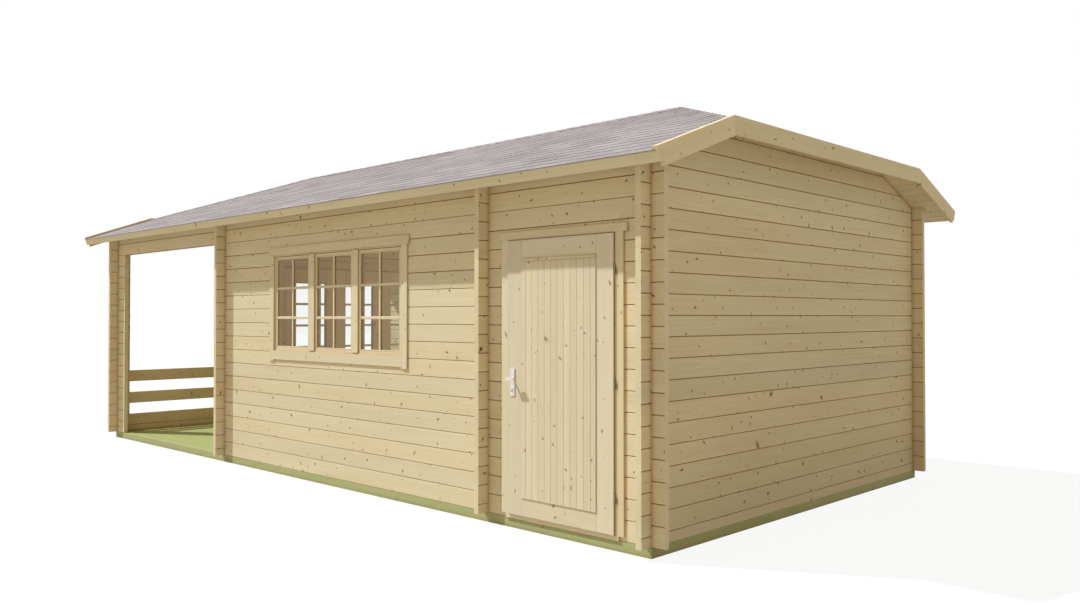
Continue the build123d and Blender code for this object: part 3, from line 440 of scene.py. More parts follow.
def barges(t, x, y, z):
    """Level boards along Y between the corners of the hip, and boards down the slopes beyond."""
    out = t.math("ABSOLUTE", y)
    cosine, sine = math.cos(PITCH), math.sin(PITCH)
    run = t.math("SUBTRACT", t.math("MULTIPLY", out, cosine), t.math("MULTIPLY", z, sine))
    up = t.math("ADD", t.math("MULTIPLY", out, sine), t.math("MULTIPLY", z, cosine))
    on_slope = t.math("GREATER_THAN", out, BARGE_X - RIDGE_HALF)
    end = t.math("MULTIPLY", t.math("SIGN", x), BARGE_NUMBERS[0])
    board = t.math("MULTIPLY_ADD", t.math("SIGN", y), on_slope, end)
    grain = t.join(t.blend(on_slope, y, run), t.blend(on_slope, z, up), x)
    return grain, t.math("ADD", board, BARGE_NUMBERS[1]), None


def sawn(name, tones, knots=1.0):
    """For pieces made here, whose points carry their place in a board."""
    made, t, shader = material(name)
    grain = t.node("ShaderNodeAttribute", attribute_name="grain").outputs["Vector"]
    board = t.node("ShaderNodeAttribute", attribute_name="board").outputs["Fac"]
    planed(t, shader, grain, board, tones, knots)
    return made


# --- Other surfaces ---
DARK_TAB = rgb(0.290, 0.255, 0.258)
PALE_TAB = rgb(0.420, 0.370, 0.360)
BUTT_SHADE = rgb(0.15, 0.13, 0.13)  # painted shade along the lower edge of a tab


def shingle_surface():
    """Mineral granules on bitumen, with a tone of its own for each tab and painted shade along its
    lower edge.
    """
    made, t, shader = material("shingle_granules")
    place = t.node("ShaderNodeAttribute", attribute_name="grain").outputs["Vector"]
    board = t.node("ShaderNodeAttribute", attribute_name="board").outputs["Fac"]
    one, two, _ = t.chance(board)
    grit = t.noise(place, scale=420.0, detail=2.0, rough=0.7)
    patch = t.noise(t.vector("MULTIPLY", place, (9.0, 22.0, 9.0)), detail=2.0)
    pale = t.math("MULTIPLY_ADD", patch, 0.9, -0.40)
    color = t.mix(t.math("MULTIPLY_ADD", one, 0.75, pale, clamp=True), DARK_TAB, PALE_TAB)
    color = t.tint(color, t.math("MULTIPLY_ADD", grit, 0.9, 0.55))
    color = t.tint(color, t.math("MULTIPLY_ADD", two, 0.14, 0.93))
    # Painted shade: a dark band along each tab's lower edge.
    butt_shade = t.math("SUBTRACT", 1.0, t.step(t.split(place)[1], 0.004, 0.012))
    color = t.mix(t.math("MULTIPLY", butt_shade, 0.15), color, BUTT_SHADE)
    t.feed(shader.inputs["Base Color"], color)
    shader.inputs["Roughness"].default_value = 0.92
    shader.inputs["Specular IOR Level"].default_value = 0.25
    bump(t, shader, grit, 0.0015, 0.7)
    return made


def clear_glass():
    """Clear straight through, with a faint mirror that grows at a glancing angle."""
    made, t, shader = material("clear_glass")
    made.node_tree.nodes.remove(shader)
    through = t.node("ShaderNodeBsdfTransparent")
    through.inputs["Color"].default_value = rgb(0.980, 0.985, 0.980)
    mirror = t.node("ShaderNodeBsdfGlossy")
    mirror.inputs["Roughness"].default_value = 0.03
    weight = t.node("ShaderNodeLayerWeight")
    weight.inputs["Blend"].default_value = 0.25
    mixed = t.node("ShaderNodeMixShader")
    t.feed(mixed.inputs[0], t.math("MULTIPLY_ADD", weight.outputs["Fresnel"], 0.05, 0.006))
    t.feed(mixed.inputs[1], through.outputs[0])
    t.feed(mixed.inputs[2], mirror.outputs[0])
    t.feed(t.tree.nodes["Material Output"].inputs["Surface"], mixed.outputs[0])
    return made


def metal(name, color, roughness):
    """Brushed metal with an uneven polish."""
    made, t, shader = material(name)
    point = t.node("ShaderNodeTexCoord").outputs["Object"]
    brushed = t.noise(t.vector("MULTIPLY", point, (900.0, 900.0, 60.0)))
    t.feed(shader.inputs["Base Color"], t.tint(color, brushed))
    t.feed(shader.inputs["Roughness"], t.math("MULTIPLY_ADD", brushed, 0.2, roughness))
    shader.inputs["Metallic"].default_value = 1.0
    bump(t, shader, brushed, 0.0001, 0.3)
    return made


# --- Making pieces ---
def finished(mesh, name, surface, body, replaces=()):
    """One object that rides on a body. It takes the mesh and frees it."""
    data = bpy.data.meshes.new(name)
    bmesh.ops.recalc_face_normals(mesh, faces=mesh.faces)
    mesh.to_mesh(data)
    mesh.free()
    data.materials.append(surface)
    made = in_scene(name, data)
    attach(made, body)
    if replaces:
        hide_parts(*replaces)


class Stock:
    """Gathers boards in one mesh. Each point keeps its place in its board, for the grain."""

    def __init__(self):
        self.mesh = bmesh.new()
        self.grain = self.mesh.verts.layers.float_vector.new("grain")
        self.board = self.mesh.verts.layers.float.new("board")
        self.count = 0

    def prism(self, outline, ends, origin, along, across, up):
        """An outline in across and up, run along between two ends that may lie aslant."""
        self.count += 1
        rings = []
        for which in (0, 1):
            ring = []
            for b, c in outline:
                a = ends(b, c)[which]
                vert = self.mesh.verts.new(origin + along * a + across * b + up * c)
                vert[self.grain] = (a, b, c)
                vert[self.board] = self.count
                ring.append(vert)
            rings.append(ring)
        first, last = rings
        size = len(outline)
        self.mesh.faces.new(first[::-1])
        self.mesh.faces.new(last)
        for i in range(size):
            j = (i + 1) % size
            self.mesh.faces.new((first[i], first[j], last[j], last[i]))

    def box(self, low, high, run, bevel):
        """A squared board between two corners, with its grain along one axis and eased edges."""
        axes = {"X": (0, 1, 2), "Y": (1, 2, 0), "Z": (2, 0, 1)}[run]
        units = [Vector((1, 0, 0)), Vector((0, 1, 0)), Vector((0, 0, 1))]
        length, width, thick = (high[i] - low[i] for i in axes)
        self.prism(
            eased(width, thick, bevel), lambda b, c: (0.0, length), Vector(low),
            units[axes[0]], units[axes[1]], units[axes[2]],
        )

    def piece(self, name, surface, body="cabin", replaces=()):
        """Ends the gathering."""
        finished(self.mesh, name, surface, body, replaces)


def eased(width, thick, bevel):
    """A rectangle with its corners taken off."""
    return [
        (bevel, 0.0), (width - bevel, 0.0), (width, bevel), (width, thick - bevel),
        (width - bevel, thick), (bevel, thick), (0.0, thick - bevel), (0.0, bevel),
    ]


def clip(outline, normal, offset):
    """The part of a convex outline where a point's product with normal is under offset."""
    kept = []
    for i, here in enumerate(outline):
        there = outline[(i + 1) % len(outline)]
        inside = here[0] * normal[0] + here[1] * normal[1] - offset
        next_inside = there[0] * normal[0] + there[1] * normal[1] - offset
        if inside <= 0:
            kept.append(here)
        if (inside < 0 < next_inside) or (next_inside < 0 < inside):
            share = inside / (inside - next_inside)
            kept.append(tuple(here[i] + (there[i] - here[i]) * share for i in (0, 1)))
    return kept


def flat_area(outline):
    total = 0.0
    for i, (x0, y0) in enumerate(outline):
        x1, y1 = outline[(i + 1) % len(outline)]
        total += x0 * y1 - x1 * y0
    return abs(total) / 2


# --- The four roof planes ---
class Slope:
    """One roof plane: where its ridge starts, which way runs along it and which way down."""

    def __init__(self, name, apex, along, level, run, half_top, half_most):
        self.name = name
        self.apex = Vector(apex)
        self.along = Vector(along)
        level = Vector(level)
        self.down = level * math.cos(PITCH) - Vector((0, 0, math.sin(PITCH)))
        self.up = level * math.sin(PITCH) + Vector((0, 0, math.cos(PITCH)))
        self.run = run
        self.half_top = half_top
        self.half_most = half_most

    def half(self, distance, above=0.0):
        """Half the length of this plane, so far down the slope and above the shingles' top."""
        level = distance * math.cos(PITCH) + above * math.sin(PITCH)
        return min(self.half_top + level, self.half_most)

    def place(self, a, b, c):
        return self.apex + self.along * a + self.down * b + self.up * c


SLOPE_RUN = -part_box("shingles_front")[0].y / math.cos(PITCH)
HIP_RUN = (ROOF_X - RIDGE_HALF) / math.cos(PITCH)
SLOPES = (
    Slope("front", (0, 0, RIDGE_Z), (1, 0, 0), (0, -1, 0), SLOPE_RUN, RIDGE_HALF, ROOF_X),
    Slope("back", (0, 0, RIDGE_Z), (-1, 0, 0), (0, 1, 0), SLOPE_RUN, RIDGE_HALF, ROOF_X),
    Slope("hip_left", (-RIDGE_HALF, 0, RIDGE_Z), (0, -1, 0), (-1, 0, 0), HIP_RUN, 0.0, ROOF_X),
    Slope("hip_right", (RIDGE_HALF, 0, RIDGE_Z), (0, 1, 0), (1, 0, 0), HIP_RUN, 0.0, ROOF_X),
)

# --- Shingles ---
TAB_W = 0.333
TAB_GAP = 0.004
TAB_SHOWN = 0.145
TAB_LIFT = 0.0024        # lower edge of a tab above the upper edge of the next row
ROW_SHIFT = 0.012        # how far a row may lie off its place
SCRAP = 1e-5             # a smaller area makes no tab
BED_TOP = -0.0045        # sheet under the tabs, which shows in their gaps
CAP_W = 0.125            # half a ridge tile
CAP_FOLD = 0.12          # share of it that bends over the ridge
CAP_RISE = 0.002         # how far the middle of the fold stands up
CAP_T = 0.004
CAP_ENDS = ((0.0, 0.0050), (1.06, 0.0012))  # each end: its place in a step, and its lift


def shingles(slope, surface):
    """Rows of tabs from the eave up, each shifted by half a tab, on one sheet."""
    stock = Stock()
    rows = math.ceil(slope.run / TAB_SHOWN)
    for row in range(rows):
        low = slope.run - row * TAB_SHOWN
        high = max(low - TAB_SHOWN, 0.0)
        shift = (row % 2) * TAB_W / 2 + random.uniform(-ROW_SHIFT, ROW_SHIFT)
        count = math.ceil(slope.half(low) / TAB_W) + 1
        for number in range(-count, count + 1):
            left = number * TAB_W + shift + TAB_GAP / 2
            right = left + TAB_W - TAB_GAP
            outline = [(left, low), (right, low), (right, high), (left, high)]
            for side in (-1, 1):
                outline = clip(outline, (side, -math.cos(PITCH)), slope.half_top)
                outline = clip(outline, (side, 0.0), slope.half_most)
            if flat_area(outline) > SCRAP:
                slab(stock, slope, outline, low, high, -TAB_LIFT, BED_TOP)
    bend = (slope.half_most - slope.half_top) / math.cos(PITCH)
    foot = slope.run - TAB_GAP
    marks = [0.0, min(bend, foot), foot]
    right_side = [(slope.half(b), b) for b in marks]
    outline = [point for i, point in enumerate(right_side) if point not in right_side[:i]]
    outline += [(-a, b) for a, b in reversed(outline) if a > 0]
    slab(stock, slope, outline, low=1.0, high=0.0, lift=0.0, base=-SHINGLE_T, top=BED_TOP)
    stock.piece(
        f"shingle_tabs_{slope.name}", surface, replaces=(f"shingles_{slope.name}",)
    )


def slab(stock, slope, outline, low, high, lift, base, top=0.0):
    """A layer on a slope, whose top sinks by lift from its lower edge to its upper one."""
    stock.count += 1
    tops, feet = [], []
    for a, b in outline:
        share = (low - b) / max(low - high, HAIR)
        for ring, c in ((tops, top + lift * share), (feet, base)):
            vert = stock.mesh.verts.new(slope.place(a, b, c))
            vert[stock.grain] = (a, low - b, c)
            vert[stock.board] = stock.count
            ring.append(vert)
    stock.mesh.faces.new(tops)
    stock.mesh.faces.new(feet[::-1])
    for i in range(len(tops)):
        j = (i + 1) % len(tops)
        stock.mesh.faces.new((tops[i], feet[i], feet[j], tops[j]))


def ridge_caps(surface):
    """Folded tiles over the ridge and the hips, each over the upper end of the next."""
    stock = Stock()
    middle = Vector((0, 0, RIDGE_Z))
    left, right = (Vector((side * RIDGE_HALF, 0, RIDGE_Z)) for side in (-1, 1))
    hip_plan = ROOF_X - RIDGE_HALF
    hip_fall = hip_plan * math.tan(PITCH)
    lines = [(middle, right), (middle, left)]
    for side, apex in ((-1, left), (1, right)):
        for hand in (-1, 1):
            lines.append((apex + Vector((side * hip_plan, hand * hip_plan, -hip_fall)), apex))
    for start, end in lines:
        run = (end - start).normalized()
        side_way = run.cross(Vector((0, 0, 1))).normalized()
        length = (end - start).length
        count = max(1, round(length / TAB_SHOWN))
        step = length / count
        level = abs(run.z) < HAIR
        fall = math.tan(PITCH) if level else math.tan(PITCH) / math.sqrt(2)
        for number in range(count):
            cap(stock, start + run * number * step, run, side_way, step, fall)
    stock.piece("ridge_caps", surface)


def cap(stock, foot, run, side_way, step, fall):
    """One folded tile from its foot up along the run, cut off at the barge boards."""
    stock.count += 1
    rings = []
    for share, lift in CAP_ENDS:
        for thick in (lift, lift - CAP_T):
            ring = []
            for across in (-CAP_W, -CAP_W * CAP_FOLD, 0.0, CAP_W * CAP_FOLD, CAP_W):
                drop = abs(across) * fall - (CAP_RISE if across == 0.0 else 0.0)
                point = foot + run * step * share + side_way * across
                point.z += thick - drop
                past = abs(point.x) - (BARGE_X - BARGE_TOP)
                if past > 0:
                    point += run * past / abs(run.x)
                vert = stock.mesh.verts.new(point)
                vert[stock.grain] = (across + 0.5, share * step, thick)
                vert[stock.board] = stock.count + 0.5
                ring.append(vert)
            rings.append(ring)
    top_a, foot_a, top_b, foot_b = rings
    for i in range(4):
        stock.mesh.faces.new((top_a[i], top_a[i + 1], top_b[i + 1], top_b[i]))
        stock.mesh.faces.new((foot_a[i + 1], foot_a[i], foot_b[i], foot_b[i + 1]))
        stock.mesh.faces.new((top_a[i + 1], top_a[i], foot_a[i], foot_a[i + 1]))
        stock.mesh.faces.new((top_b[i], top_b[i + 1], foot_b[i + 1], foot_b[i]))
    for ring_a, ring_b, i in ((top_a, top_b, 0), (top_b, top_a, 4)):
        other_a, other_b = (foot_a, foot_b) if i == 0 else (foot_b, foot_a)
        stock.mesh.faces.new((ring_a[i], ring_b[i], other_b[i], other_a[i]))


# --- Boards of the roof, the deck and the floors ---
BOARD_V = 0.006          # V between two boards
BOARD_FIT = 0.0004       # play between two boards
DECK_BOARD_W = 0.118
DECK_GAP = 0.006
FLOOR_BOARD_W = 0.114
ROOF_BOARD_W = HIP_RUN / 14  # so that the corner of the hip lies on a joint


def roof_boards(slope, surface):
    """Boards across the slope, tongued together, with a V where two meet below."""
    stock = Stock()
    hip = slope.half_top == 0.0
    run = slope.run if hip else slope.run - FASCIA_PAST
    top = -SHINGLE_T - BOARD_FIT
    low = -SHINGLE_T - ROOF_BOARD_T
    count = math.ceil(run / ROOF_BOARD_W - 0.01)      # less a hair, against a sliver of a board
    for number in range(count):
        start = number * ROOF_BOARD_W + BOARD_FIT
        end = min(start + ROOF_BOARD_W - BOARD_FIT, run)
        outline = [
            (start, top), (end, top), (end, low + BOARD_V), (end - BOARD_V, low),
            (start + BOARD_V, low), (start, low + BOARD_V),
        ]
        if number == 0:
            outline = [(plumb(b, c) if b < start + BOARD_FIT else b, c) for b, c in outline]
        if hip and number == count - 1:
            outline = [(plumb(b, c) if b > end - BOARD_FIT else b, c) for b, c in outline]
        stock.prism(
            outline, lambda b, c: (-slope.half(b, c), slope.half(b, c)),
            slope.apex, slope.along, slope.down, slope.up,
        )
    stock.piece(
        f"roof_planks_{slope.name}", surface, replaces=(f"roof_boards_{slope.name}",)
    )


def plumb(distance, above):
    """A cut that stands upright instead of square to the slope."""
    return distance - above * math.tan(PITCH)


def level_boards(stock, box, width, gap, bevel):
    """Boards along X that fill a box from front to back."""
    (x0, y0, z0), (x1, y1, z1) = box
    count = round((y1 - y0) / (width + gap))
    pitch = (y1 - y0 + gap) / count
    for number in range(count):
        y = y0 + number * pitch
        stock.box((x0, y, z0), (x1, y + pitch - gap, z1), "X", bevel)


def solid_boxes(name):
    """The box of each separate solid in a CAD node, in order along X, Y and Z."""
    data = nodes[name].data
    places = [tuple(round(value, 5) for value in vert.co) for vert in data.vertices]
    lead = {place: place for place in places}

    def first(place):
        while lead[place] != place:
            place = lead[place]
        return place

    for face in data.polygons:
        for index in face.vertices:
            lead[first(places[index])] = first(places[face.vertices[0]])
    groups = {}
    for place in lead:
        groups.setdefault(first(place), []).append(place)
    boxes = []
    for group in groups.values():
        low = Vector(min(point[i] for point in group) for i in range(3))
        high = Vector(max(point[i] for point in group) for i in range(3))
        boxes.append((low, high))
    return sorted(boxes, key=lambda box: tuple(round(value, 3) for value in box[0]))


# --- Bars and beads on the glass, and screws ---
BAR_W = 0.024
BAR_T = 0.008
BAR_EASE = 0.003
BAR_CLEAR = 0.0003       # between a bar and the glass
BAR_SET = 0.0005         # bars stay this far behind the faces of their sash
CROSS_SET = 0.0006       # level bars lie this far under the upright ones
BEAD_W = 0.010
BEAD_EASE = 0.002
SCREW_R = 0.004
SCREW_SIDES = 16

# The rings of a screw's head from its rim in: radius in shares, and how far it stands out.
HEAD_RINGS = ((1.0, -0.0006), (1.0, 0.0002), (0.80, 0.0008))
CROSS_RISE = 0.0011      # the rim of the cross
CROSS_DEEP = 0.0012
CROSS_TIP = 0.55
CROSS_WAIST = 0.20


def glazing(stock, pane, run, face_low, face_high, rows, columns):
    """Bars on both faces of a pane, and a bead round it. Run is the pane's level direction."""
    low, high = pane
    level = 0 if run == "X" else 1
    out = 1 - level
    left, right = low[level], high[level]
    foot, head = low.z, high.z

    def corner(side, depth, z):
        return (side, depth, z) if run == "X" else (depth, side, z)

    before, behind = low[out] - BAR_CLEAR, high[out] + BAR_CLEAR
    for near, far in (
        (max(face_low, before - BAR_T), before), (behind, min(face_high, behind + BAR_T)),
    ):
        for k in range(1, columns):
            middle = left + (right - left) * k / columns
            stock.box(
                corner(middle - BAR_W / 2, near, foot + BEAD_W),
                corner(middle + BAR_W / 2, far, head - BEAD_W), "Z", BAR_EASE,
            )
        edges = [left + (right - left) * n / columns for n in range(columns + 1)]
        for k in range(1, rows):
            z = foot + (head - foot) * k / rows
            for a, b in zip(edges, edges[1:]):
                a += BEAD_W if a == left else BAR_W / 2
                b -= BEAD_W if b == right else BAR_W / 2
                stock.box(
                    corner(a, near + CROSS_SET, z - BAR_W / 2),
                    corner(b, far - CROSS_SET, z + BAR_W / 2), run, BAR_EASE,
                )
        for a, b in ((left, left + BEAD_W), (right - BEAD_W, right)):
            stock.box(corner(a, near, foot), corner(b, far, head), "Z", BEAD_EASE)
        for a, b in ((foot, foot + BEAD_W), (head - BEAD_W, head)):
            stock.box(
                corner(left + BEAD_W, near, a), corner(right - BEAD_W, far, b), run, BEAD_EASE
            )


def screw_heads(name, places, out, surface, body):
    """Countersunk heads, a little domed, with a cross in each. Out is the level way they face."""
    mesh = bmesh.new()
    out = Vector(out)
    side = out.cross(Vector((0, 0, 1))).normalized()
    up = side.cross(out)

    def ring(place, turn, reaches, rise):
        made = []
        for i, reach in enumerate(reaches):
            angle = turn + 2 * math.pi * i / SCREW_SIDES
            way = side * math.cos(angle) + up * math.sin(angle)
            made.append(mesh.verts.new(place + out * rise + way * SCREW_R * reach))
        return made

    cross = [CROSS_WAIST if i % 4 else CROSS_TIP for i in range(SCREW_SIDES)]
    for place in places:
        place = Vector(place)
        turn = random.uniform(0, math.pi)
        rings = [ring(place, turn, [share] * SCREW_SIDES, rise) for share, rise in HEAD_RINGS]
        rings.append(ring(place, turn, cross, CROSS_RISE))
        rings.append(ring(place, turn, cross, CROSS_RISE - CROSS_DEEP))
        for outer, inner in zip(rings, rings[1:]):
            for i in range(SCREW_SIDES):
                j = (i + 1) % SCREW_SIDES
                mesh.faces.new((outer[i], outer[j], inner[j], inner[i]))
        mesh.faces.new(rings[0][::-1])
        mesh.faces.new(rings[-1])
    finished(mesh, name, surface, body)


# --- Materials of the CAD nodes ---
def mid(name, axis):
    low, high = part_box(name)
    return (low[axis] + high[axis]) / 2


def dress(surface, *names):
    for name in names:
        data = nodes[name].data
        data.materials.clear()
        data.materials.append(surface)


def dress_framed(name, wood, run, middle, rails, seed, tones=PINE, knots=0.6, **ways):
    dress(wooden(wood, framed(run, middle, rails, seed, **ways), tones, knots), name)


HALF_COURSE = LOG_FOOT + LOG_H / 2  # the walls along Y lie half a course higher

for name, seed in (
    ("front_wall", 100), ("front_wall_right", 140), ("front_wall_over_door", 100),
    ("front_beam", 100), ("back_wall", 180), ("terrace_corner", 220),
):
    dress(wooden(name + "_wood", logs("X", mid(name, 1), LOG_FOOT, seed)), name)
for name, seed in (
    ("right_gable", 260), ("store_partition", 300), ("terrace_wall_front", 340),
    ("terrace_wall_back", 380), ("terrace_wall_top", 340), ("terrace_balustrade", 420),
    ("left_gable", 460), ("terrace_stubs", 500),
):
    # The balustrade takes spruce warmed with painted bounce light.
    tones = RAIL_PAINTED_BOUNCE_TONES if name == "terrace_balustrade" else SPRUCE
    dress(wooden(name + "_wood", logs("Y", mid(name, 0), HALF_COURSE, seed), tones), name)

dress(wooden("bearer_wood", bearers, BEARER_TONES, 0.6), "base_bearers")
dress(wooden("joist_wood", beams("Y", 20), TREATED, 0.6), "floor_joists")
dress(wooden("purlin_wood", beams("X", 40)), "purlins")
dress(wooden("hip_rafter_wood", hip_timbers), "hip_rafters")
dress(wooden("fascia_wood", beams("X", 60)), "fascia_boards")
dress(wooden("barge_wood", barges), "barge_boards")

WINDOW_MID = mid("window_frame", 0)
WINDOW_HALF = 0.990
CASE_PITCH = 0.676
CASE_INNER = 0.2735      # half the width between a casement's stiles
CASE_RAIL = 0.020        # height of its rails
TRIM_HEAD = 0.072
TRIM_SILL = 0.099
case_low, case_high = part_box("window_casements")
trim_low, trim_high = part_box("window_trim")
dress_framed(
    "window_frame", "window_frame_wood", "X", WINDOW_MID,
    ((0.0, case_low.z, FAR), (case_high.z, FAR, FAR)), 600, knots=0.5, slat=0.28,
)
dress_framed(
    "window_casements", "casement_wood", "X", WINDOW_MID,
    ((0.0, case_low.z + CASE_RAIL, CASE_INNER), (case_high.z - CASE_RAIL, FAR, CASE_INNER)),
    620, knots=0.5, pitch=CASE_PITCH, lines=0.0006,
)
dress_framed(
    "window_trim", "window_trim_wood", "X", WINDOW_MID,
    ((trim_high.z - TRIM_HEAD, FAR, FAR), (0.0, trim_low.z + TRIM_SILL, WINDOW_HALF)),
    640, knots=0.7,
)

DOOR_MID = mid("store_door_leaf", 0)
LEAF_T = 0.042
PANEL_HALF = 0.339
PANEL_RAIL = 0.124
PANEL_BOARD = 0.059
SILL_TOP = 0.0982        # sills of both doors
DOOR_HEAD = 1.9915       # underside of the head of the store door's frame
TRIM_LIFT = 0.0058       # the cover board over the door, above the leaf
leaf_low, leaf_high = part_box("store_door_leaf")
leaf_face = leaf_high.y - LEAF_T
dress_framed(
    "store_door_leaf", "door_wood", "X", DOOR_MID,
    ((leaf_high.z - PANEL_RAIL, FAR, PANEL_HALF), (0.0, leaf_low.z + PANEL_RAIL, PANEL_HALF)),
    660, DOOR_TONES, 0.75, slat=PANEL_BOARD, lines=0.0008, panel=PANEL_HALF,
)
dress_framed(
    "store_door_frame", "door_frame_wood", "X", DOOR_MID,
    ((DOOR_HEAD, FAR, FAR), (0.0, SILL_TOP, FAR)), 680, slat=0.5,
)
dress_framed(
    "store_door_trim", "door_trim_wood", "X", DOOR_MID,
    ((leaf_high.z + TRIM_LIFT, FAR, FAR),), 700, knots=0.7, slat=0.5,
)

SCREEN_MID = mid("terrace_door_leaves", 1)
SCREEN_LEAF = 0.635      # one leaf of the folding door
SCREEN_INNER = 0.1925    # half the width between its stiles
SCREEN_RAILS = (0.440, 1.856)  # top of its lower rail and underside of its upper one
SCREEN_HEAD = 2.0155
SCREEN_TRIM = 2.0385
dress_framed(
    "terrace_door_frame", "terrace_frame_wood", "Y", SCREEN_MID,
    ((SCREEN_HEAD, FAR, FAR), (0.0, SILL_TOP, FAR)), 720, slat=1.2,
)
dress_framed(
    "terrace_door_trim", "terrace_trim_wood", "Y", SCREEN_MID,
    ((SCREEN_TRIM, FAR, FAR),), 740, knots=0.7, slat=1.2,
)
dress_framed(
    "terrace_door_leaves", "terrace_leaf_wood", "Y", SCREEN_MID - SCREEN_LEAF / 2,
    ((SCREEN_RAILS[1], FAR, SCREEN_INNER), (0.0, SCREEN_RAILS[0], SCREEN_INNER)),
    760, pitch=SCREEN_LEAF, slat=0.4, lines=0.0007,
)

dress(clear_glass(), "window_glass", "terrace_door_glass")
satin = metal("satin_metal", (1.48, 1.34, 1.22), 0.46)
dress(satin, "store_door_plates", "store_door_lever")
gilt = metal("gilt_metal", (0.62, 0.46, 0.25), 0.34)
dress(gilt, "store_hinge_posts", "store_hinge_cups")
# Painted shade: a dark sheet that stands for the inside of the keyhole.
keyhole_shade = metal("keyhole_shade", (0.16, 0.15, 0.15), 0.40)

# --- Pieces ---
granules = shingle_surface()
roof_wood = sawn("roof_board_wood", SPRUCE)
for slope in SLOPES:
    shingles(slope, granules)
    roof_boards(slope, roof_wood)
ridge_caps(granules)

stock = Stock()
level_boards(stock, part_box("terrace_deck"), DECK_BOARD_W, DECK_GAP, 0.003)
deck_wood = sawn("deck_wood", TREATED, 0.6)
stock.piece("deck_boards", deck_wood, replaces=("terrace_deck",))

stock = Stock()
for box in solid_boxes("room_floors"):
    level_boards(stock, box, FLOOR_BOARD_W, BOARD_FIT, 0.001)
stock.piece("floor_planks", sawn("floor_wood", PINE), replaces=("room_floors",))

bar_wood = sawn("glazing_bar_wood", PINE, 0.2)
stock = Stock()
for pane in solid_boxes("window_glass"):
    glazing(stock, pane, "X", case_low.y + BAR_SET, case_high.y - BAR_SET, rows=3, columns=2)
stock.piece("window_bars", bar_wood)

stock = Stock()
doors_low, doors_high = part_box("terrace_door_leaves")
for pane in solid_boxes("terrace_door_glass"):
    glazing(stock, pane, "Y", doors_low.x + BAR_SET, doors_high.x - BAR_SET, rows=6, columns=1)
stock.piece("terrace_door_bars", bar_wood)

# Stops behind the upper edge and the ends of the folding door, which close the play round it.
STOP_T = 0.008
STOP_LAP = 0.012
STOP_H = 0.032
stock = Stock()
behind = doors_low.x - BOARD_FIT
head = doors_high.z - STOP_LAP
ends = (doors_low.y - STOP_LAP, doors_high.y + STOP_LAP)
stock.box((behind - STOP_T, ends[0], head), (behind, ends[1], head + STOP_H), "Y", 0.002)
for y in (ends[0], doors_high.y - STOP_LAP):
    stock.box(
        (behind - STOP_T, y, doors_low.z), (behind, y + 2 * STOP_LAP, head - BOARD_FIT), "Z", 0.002
    )
stock.piece("terrace_door_stops", bar_wood)

# Vertical boards in the panel of the store door, a little proud of its stiles.
PANEL_SET = 0.0064       # their backs, behind the face of the leaf
PANEL_PROUD = 0.006
DRIP_H = 0.0244          # moulding over the panel's upper edge, with its joint
board_low = leaf_low.z + PANEL_RAIL + BOARD_FIT
board_high = leaf_high.z - PANEL_RAIL - DRIP_H
stock = Stock()
count = math.ceil(PANEL_HALF / PANEL_BOARD)
for number in range(-count, count):
    left = max(number * PANEL_BOARD, -PANEL_HALF) + BOARD_FIT
    right = min((number + 1) * PANEL_BOARD, PANEL_HALF) - BOARD_FIT
    stock.box(
        (DOOR_MID + left, leaf_face - PANEL_PROUD, board_low),
        (DOOR_MID + right, leaf_face + PANEL_SET, board_high), "Z", 0.001,
    )
door_wood = sawn("door_board_wood", DOOR_TONES, 0.75)
stock.piece("door_panel_boards", door_wood, "store_door")

# Screws in both plates of the store door, and the keyhole: a dark sheet on the plate, painted shade
# for the hole.
PLATE_T = 0.006
SCREW_FROM_END = 0.013
KEY_Z = 0.966
KEY_R = 0.0042           # its round part
KEY_SLOT = 0.0016        # half the width at its foot
KEY_DROP = 0.0105
KEY_ENDS = (-0.0003, 0.0002)  # from just inside the plate to just outside
plate_low, plate_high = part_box("store_door_plates")
plate_x = (plate_low.x + plate_high.x) / 2
for name, y, out in (("outer", leaf_face - PLATE_T, -1), ("inner", leaf_high.y + PLATE_T, 1)):
    screw_heads(
        f"plate_screws_{name}",
        [(plate_x, y, z) for z in (plate_low.z + SCREW_FROM_END, plate_high.z - SCREW_FROM_END)],
        (0, out, 0), satin, "store_door",
    )
arc = [math.radians(30 * k - 60) for k in range(11)]
keyhole = [(KEY_R * math.cos(angle), KEY_R * math.sin(angle)) for angle in arc]
keyhole += [(-KEY_SLOT, -KEY_DROP), (KEY_SLOT, -KEY_DROP)]
stock = Stock()
stock.prism(
    keyhole, lambda b, c: KEY_ENDS, Vector((plate_x, plate_low.y, KEY_Z)),
    Vector((0, -1, 0)), Vector((-1, 0, 0)), Vector((0, 0, 1)),
)
stock.piece("keyhole", keyhole_shade, "store_door")

# --- Floor, light and camera ---
SEEN = ("Is Camera Ray", "Is Glossy Ray", "Is Transmission Ray")
WHITE = rgb(1.0, 1.0, 1.0)
FLOOR_HALF = 60.0
FLOOR_DROP = 0.0005
FLOOR_GLOW = 0.90        # white as it is seen, under the light that falls on it
FLOOR_SEEN = rgb(0.10, 0.10, 0.10)
FLOOR_BOUNCE = rgb(0.485, 0.470, 0.415)  # what it throws back on the cabin
SKY_COLOR = rgb(1.0, 0.90, 0.74)
SKY_LIGHT = 0.500
SUN_WAY = (1.7, 1.0, -2.45)
SUN_LIGHT = 3.98
SUN_WIDTH = 0.8          # in degrees
SUN_COLOR = (0.857, 0.935, 1.0)
ROOM_PLACE = (0.65, 0.2, 1.5)
ROOM_LIGHT = 24.0
ROOM_SOFT = 0.4
ROOM_COLOR = (1.0, 0.95, 0.86)
EYE = (7.546, -6.503, 1.4785)
EYE_TURN = (90.8042, 0.0, 44.1189)  # in degrees
LENS = 30.606            # in mm
SENSOR = 36.0


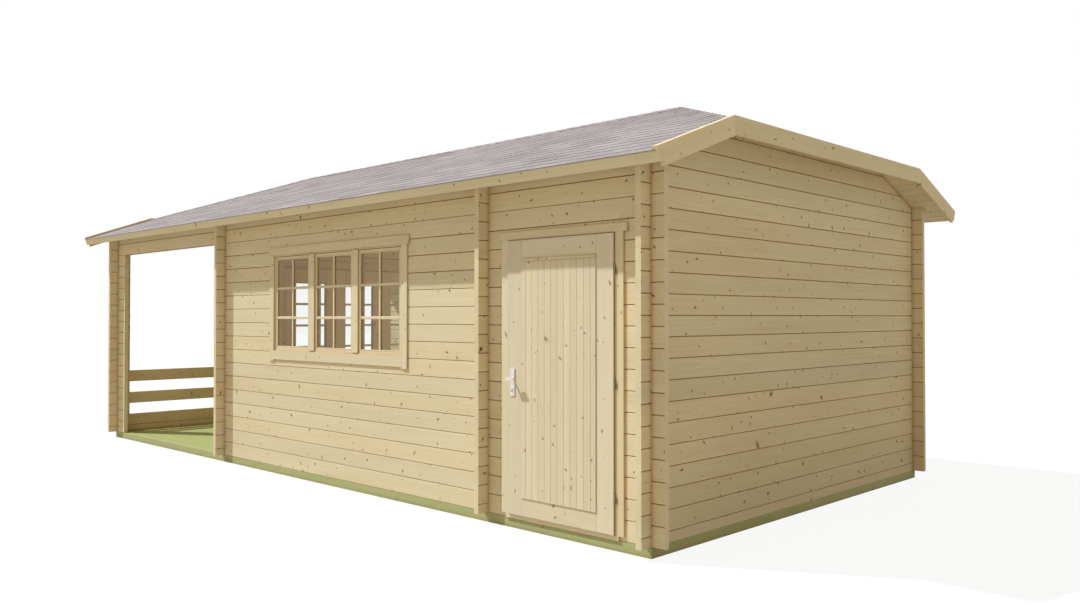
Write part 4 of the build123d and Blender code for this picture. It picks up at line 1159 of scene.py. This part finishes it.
def seen_ray(t):
    """1 for the rays that look, and 0 for those that light."""
    path = t.node("ShaderNodeLightPath")
    total = path.outputs[SEEN[0]]
    for ray in SEEN[1:]:
        total = t.math("MAXIMUM", total, path.outputs[ray])
    return total


def floor():
    made, t, shader = material("studio_floor")
    made.node_tree.nodes.remove(shader)
    seen = seen_ray(t)
    matt = t.node("ShaderNodeBsdfDiffuse")
    t.feed(matt.inputs["Color"], t.mix(seen, FLOOR_BOUNCE, FLOOR_SEEN))
    glow = t.node("ShaderNodeEmission")
    glow.inputs["Color"].default_value = WHITE
    t.feed(glow.inputs["Strength"], t.math("MULTIPLY", seen, FLOOR_GLOW))
    both = t.node("ShaderNodeAddShader")
    t.feed(both.inputs[0], matt.outputs[0])
    t.feed(both.inputs[1], glow.outputs[0])
    t.feed(t.tree.nodes["Material Output"].inputs["Surface"], both.outputs[0])
    mesh = bmesh.new()
    bmesh.ops.create_grid(mesh, x_segments=4, y_segments=4, size=FLOOR_HALF)
    data = bpy.data.meshes.new("studio_floor")
    mesh.to_mesh(data)
    mesh.free()
    data.materials.append(made)
    plane = in_scene("studio_floor", data)
    plane.location.z = -FLOOR_DROP


def sky():
    """White where it is seen, and a warm soft light on the cabin."""
    world = bpy.data.worlds.new("studio")
    world.use_nodes = True
    bpy.context.scene.world = world
    t = Tree(world.node_tree)
    back = world.node_tree.nodes["Background"]
    seen = seen_ray(t)
    t.feed(back.inputs["Color"], t.mix(seen, SKY_COLOR, WHITE))
    t.feed(back.inputs["Strength"], t.blend(seen, SKY_LIGHT, 1.0))


def sun():
    data = bpy.data.lights.new("sun", "SUN")
    data.energy = SUN_LIGHT
    data.angle = math.radians(SUN_WIDTH)
    data.color = SUN_COLOR
    lamp = in_scene("sun", data)
    lamp.rotation_euler = Vector(SUN_WAY).to_track_quat("-Z", "Y").to_euler()


def room_light():
    """A soft fill in the main room, as light as the shade outside."""
    data = bpy.data.lights.new("room_light", "POINT")
    data.energy = ROOM_LIGHT
    data.shadow_soft_size = ROOM_SOFT
    data.color = ROOM_COLOR
    lamp = in_scene("room_light", data)
    lamp.location = ROOM_PLACE
    lamp.visible_camera = False
    lamp.visible_glossy = False
    lamp.visible_transmission = False


def camera():
    data = bpy.data.cameras.new("camera")
    data.lens = LENS
    data.sensor_width = SENSOR
    eye = in_scene("camera", data)
    eye.location = EYE
    eye.rotation_euler = [math.radians(angle) for angle in EYE_TURN]
    bpy.context.scene.camera = eye


floor()
sky()
sun()
room_light()
camera()
bpy.context.scene.view_settings.view_transform = "Standard"
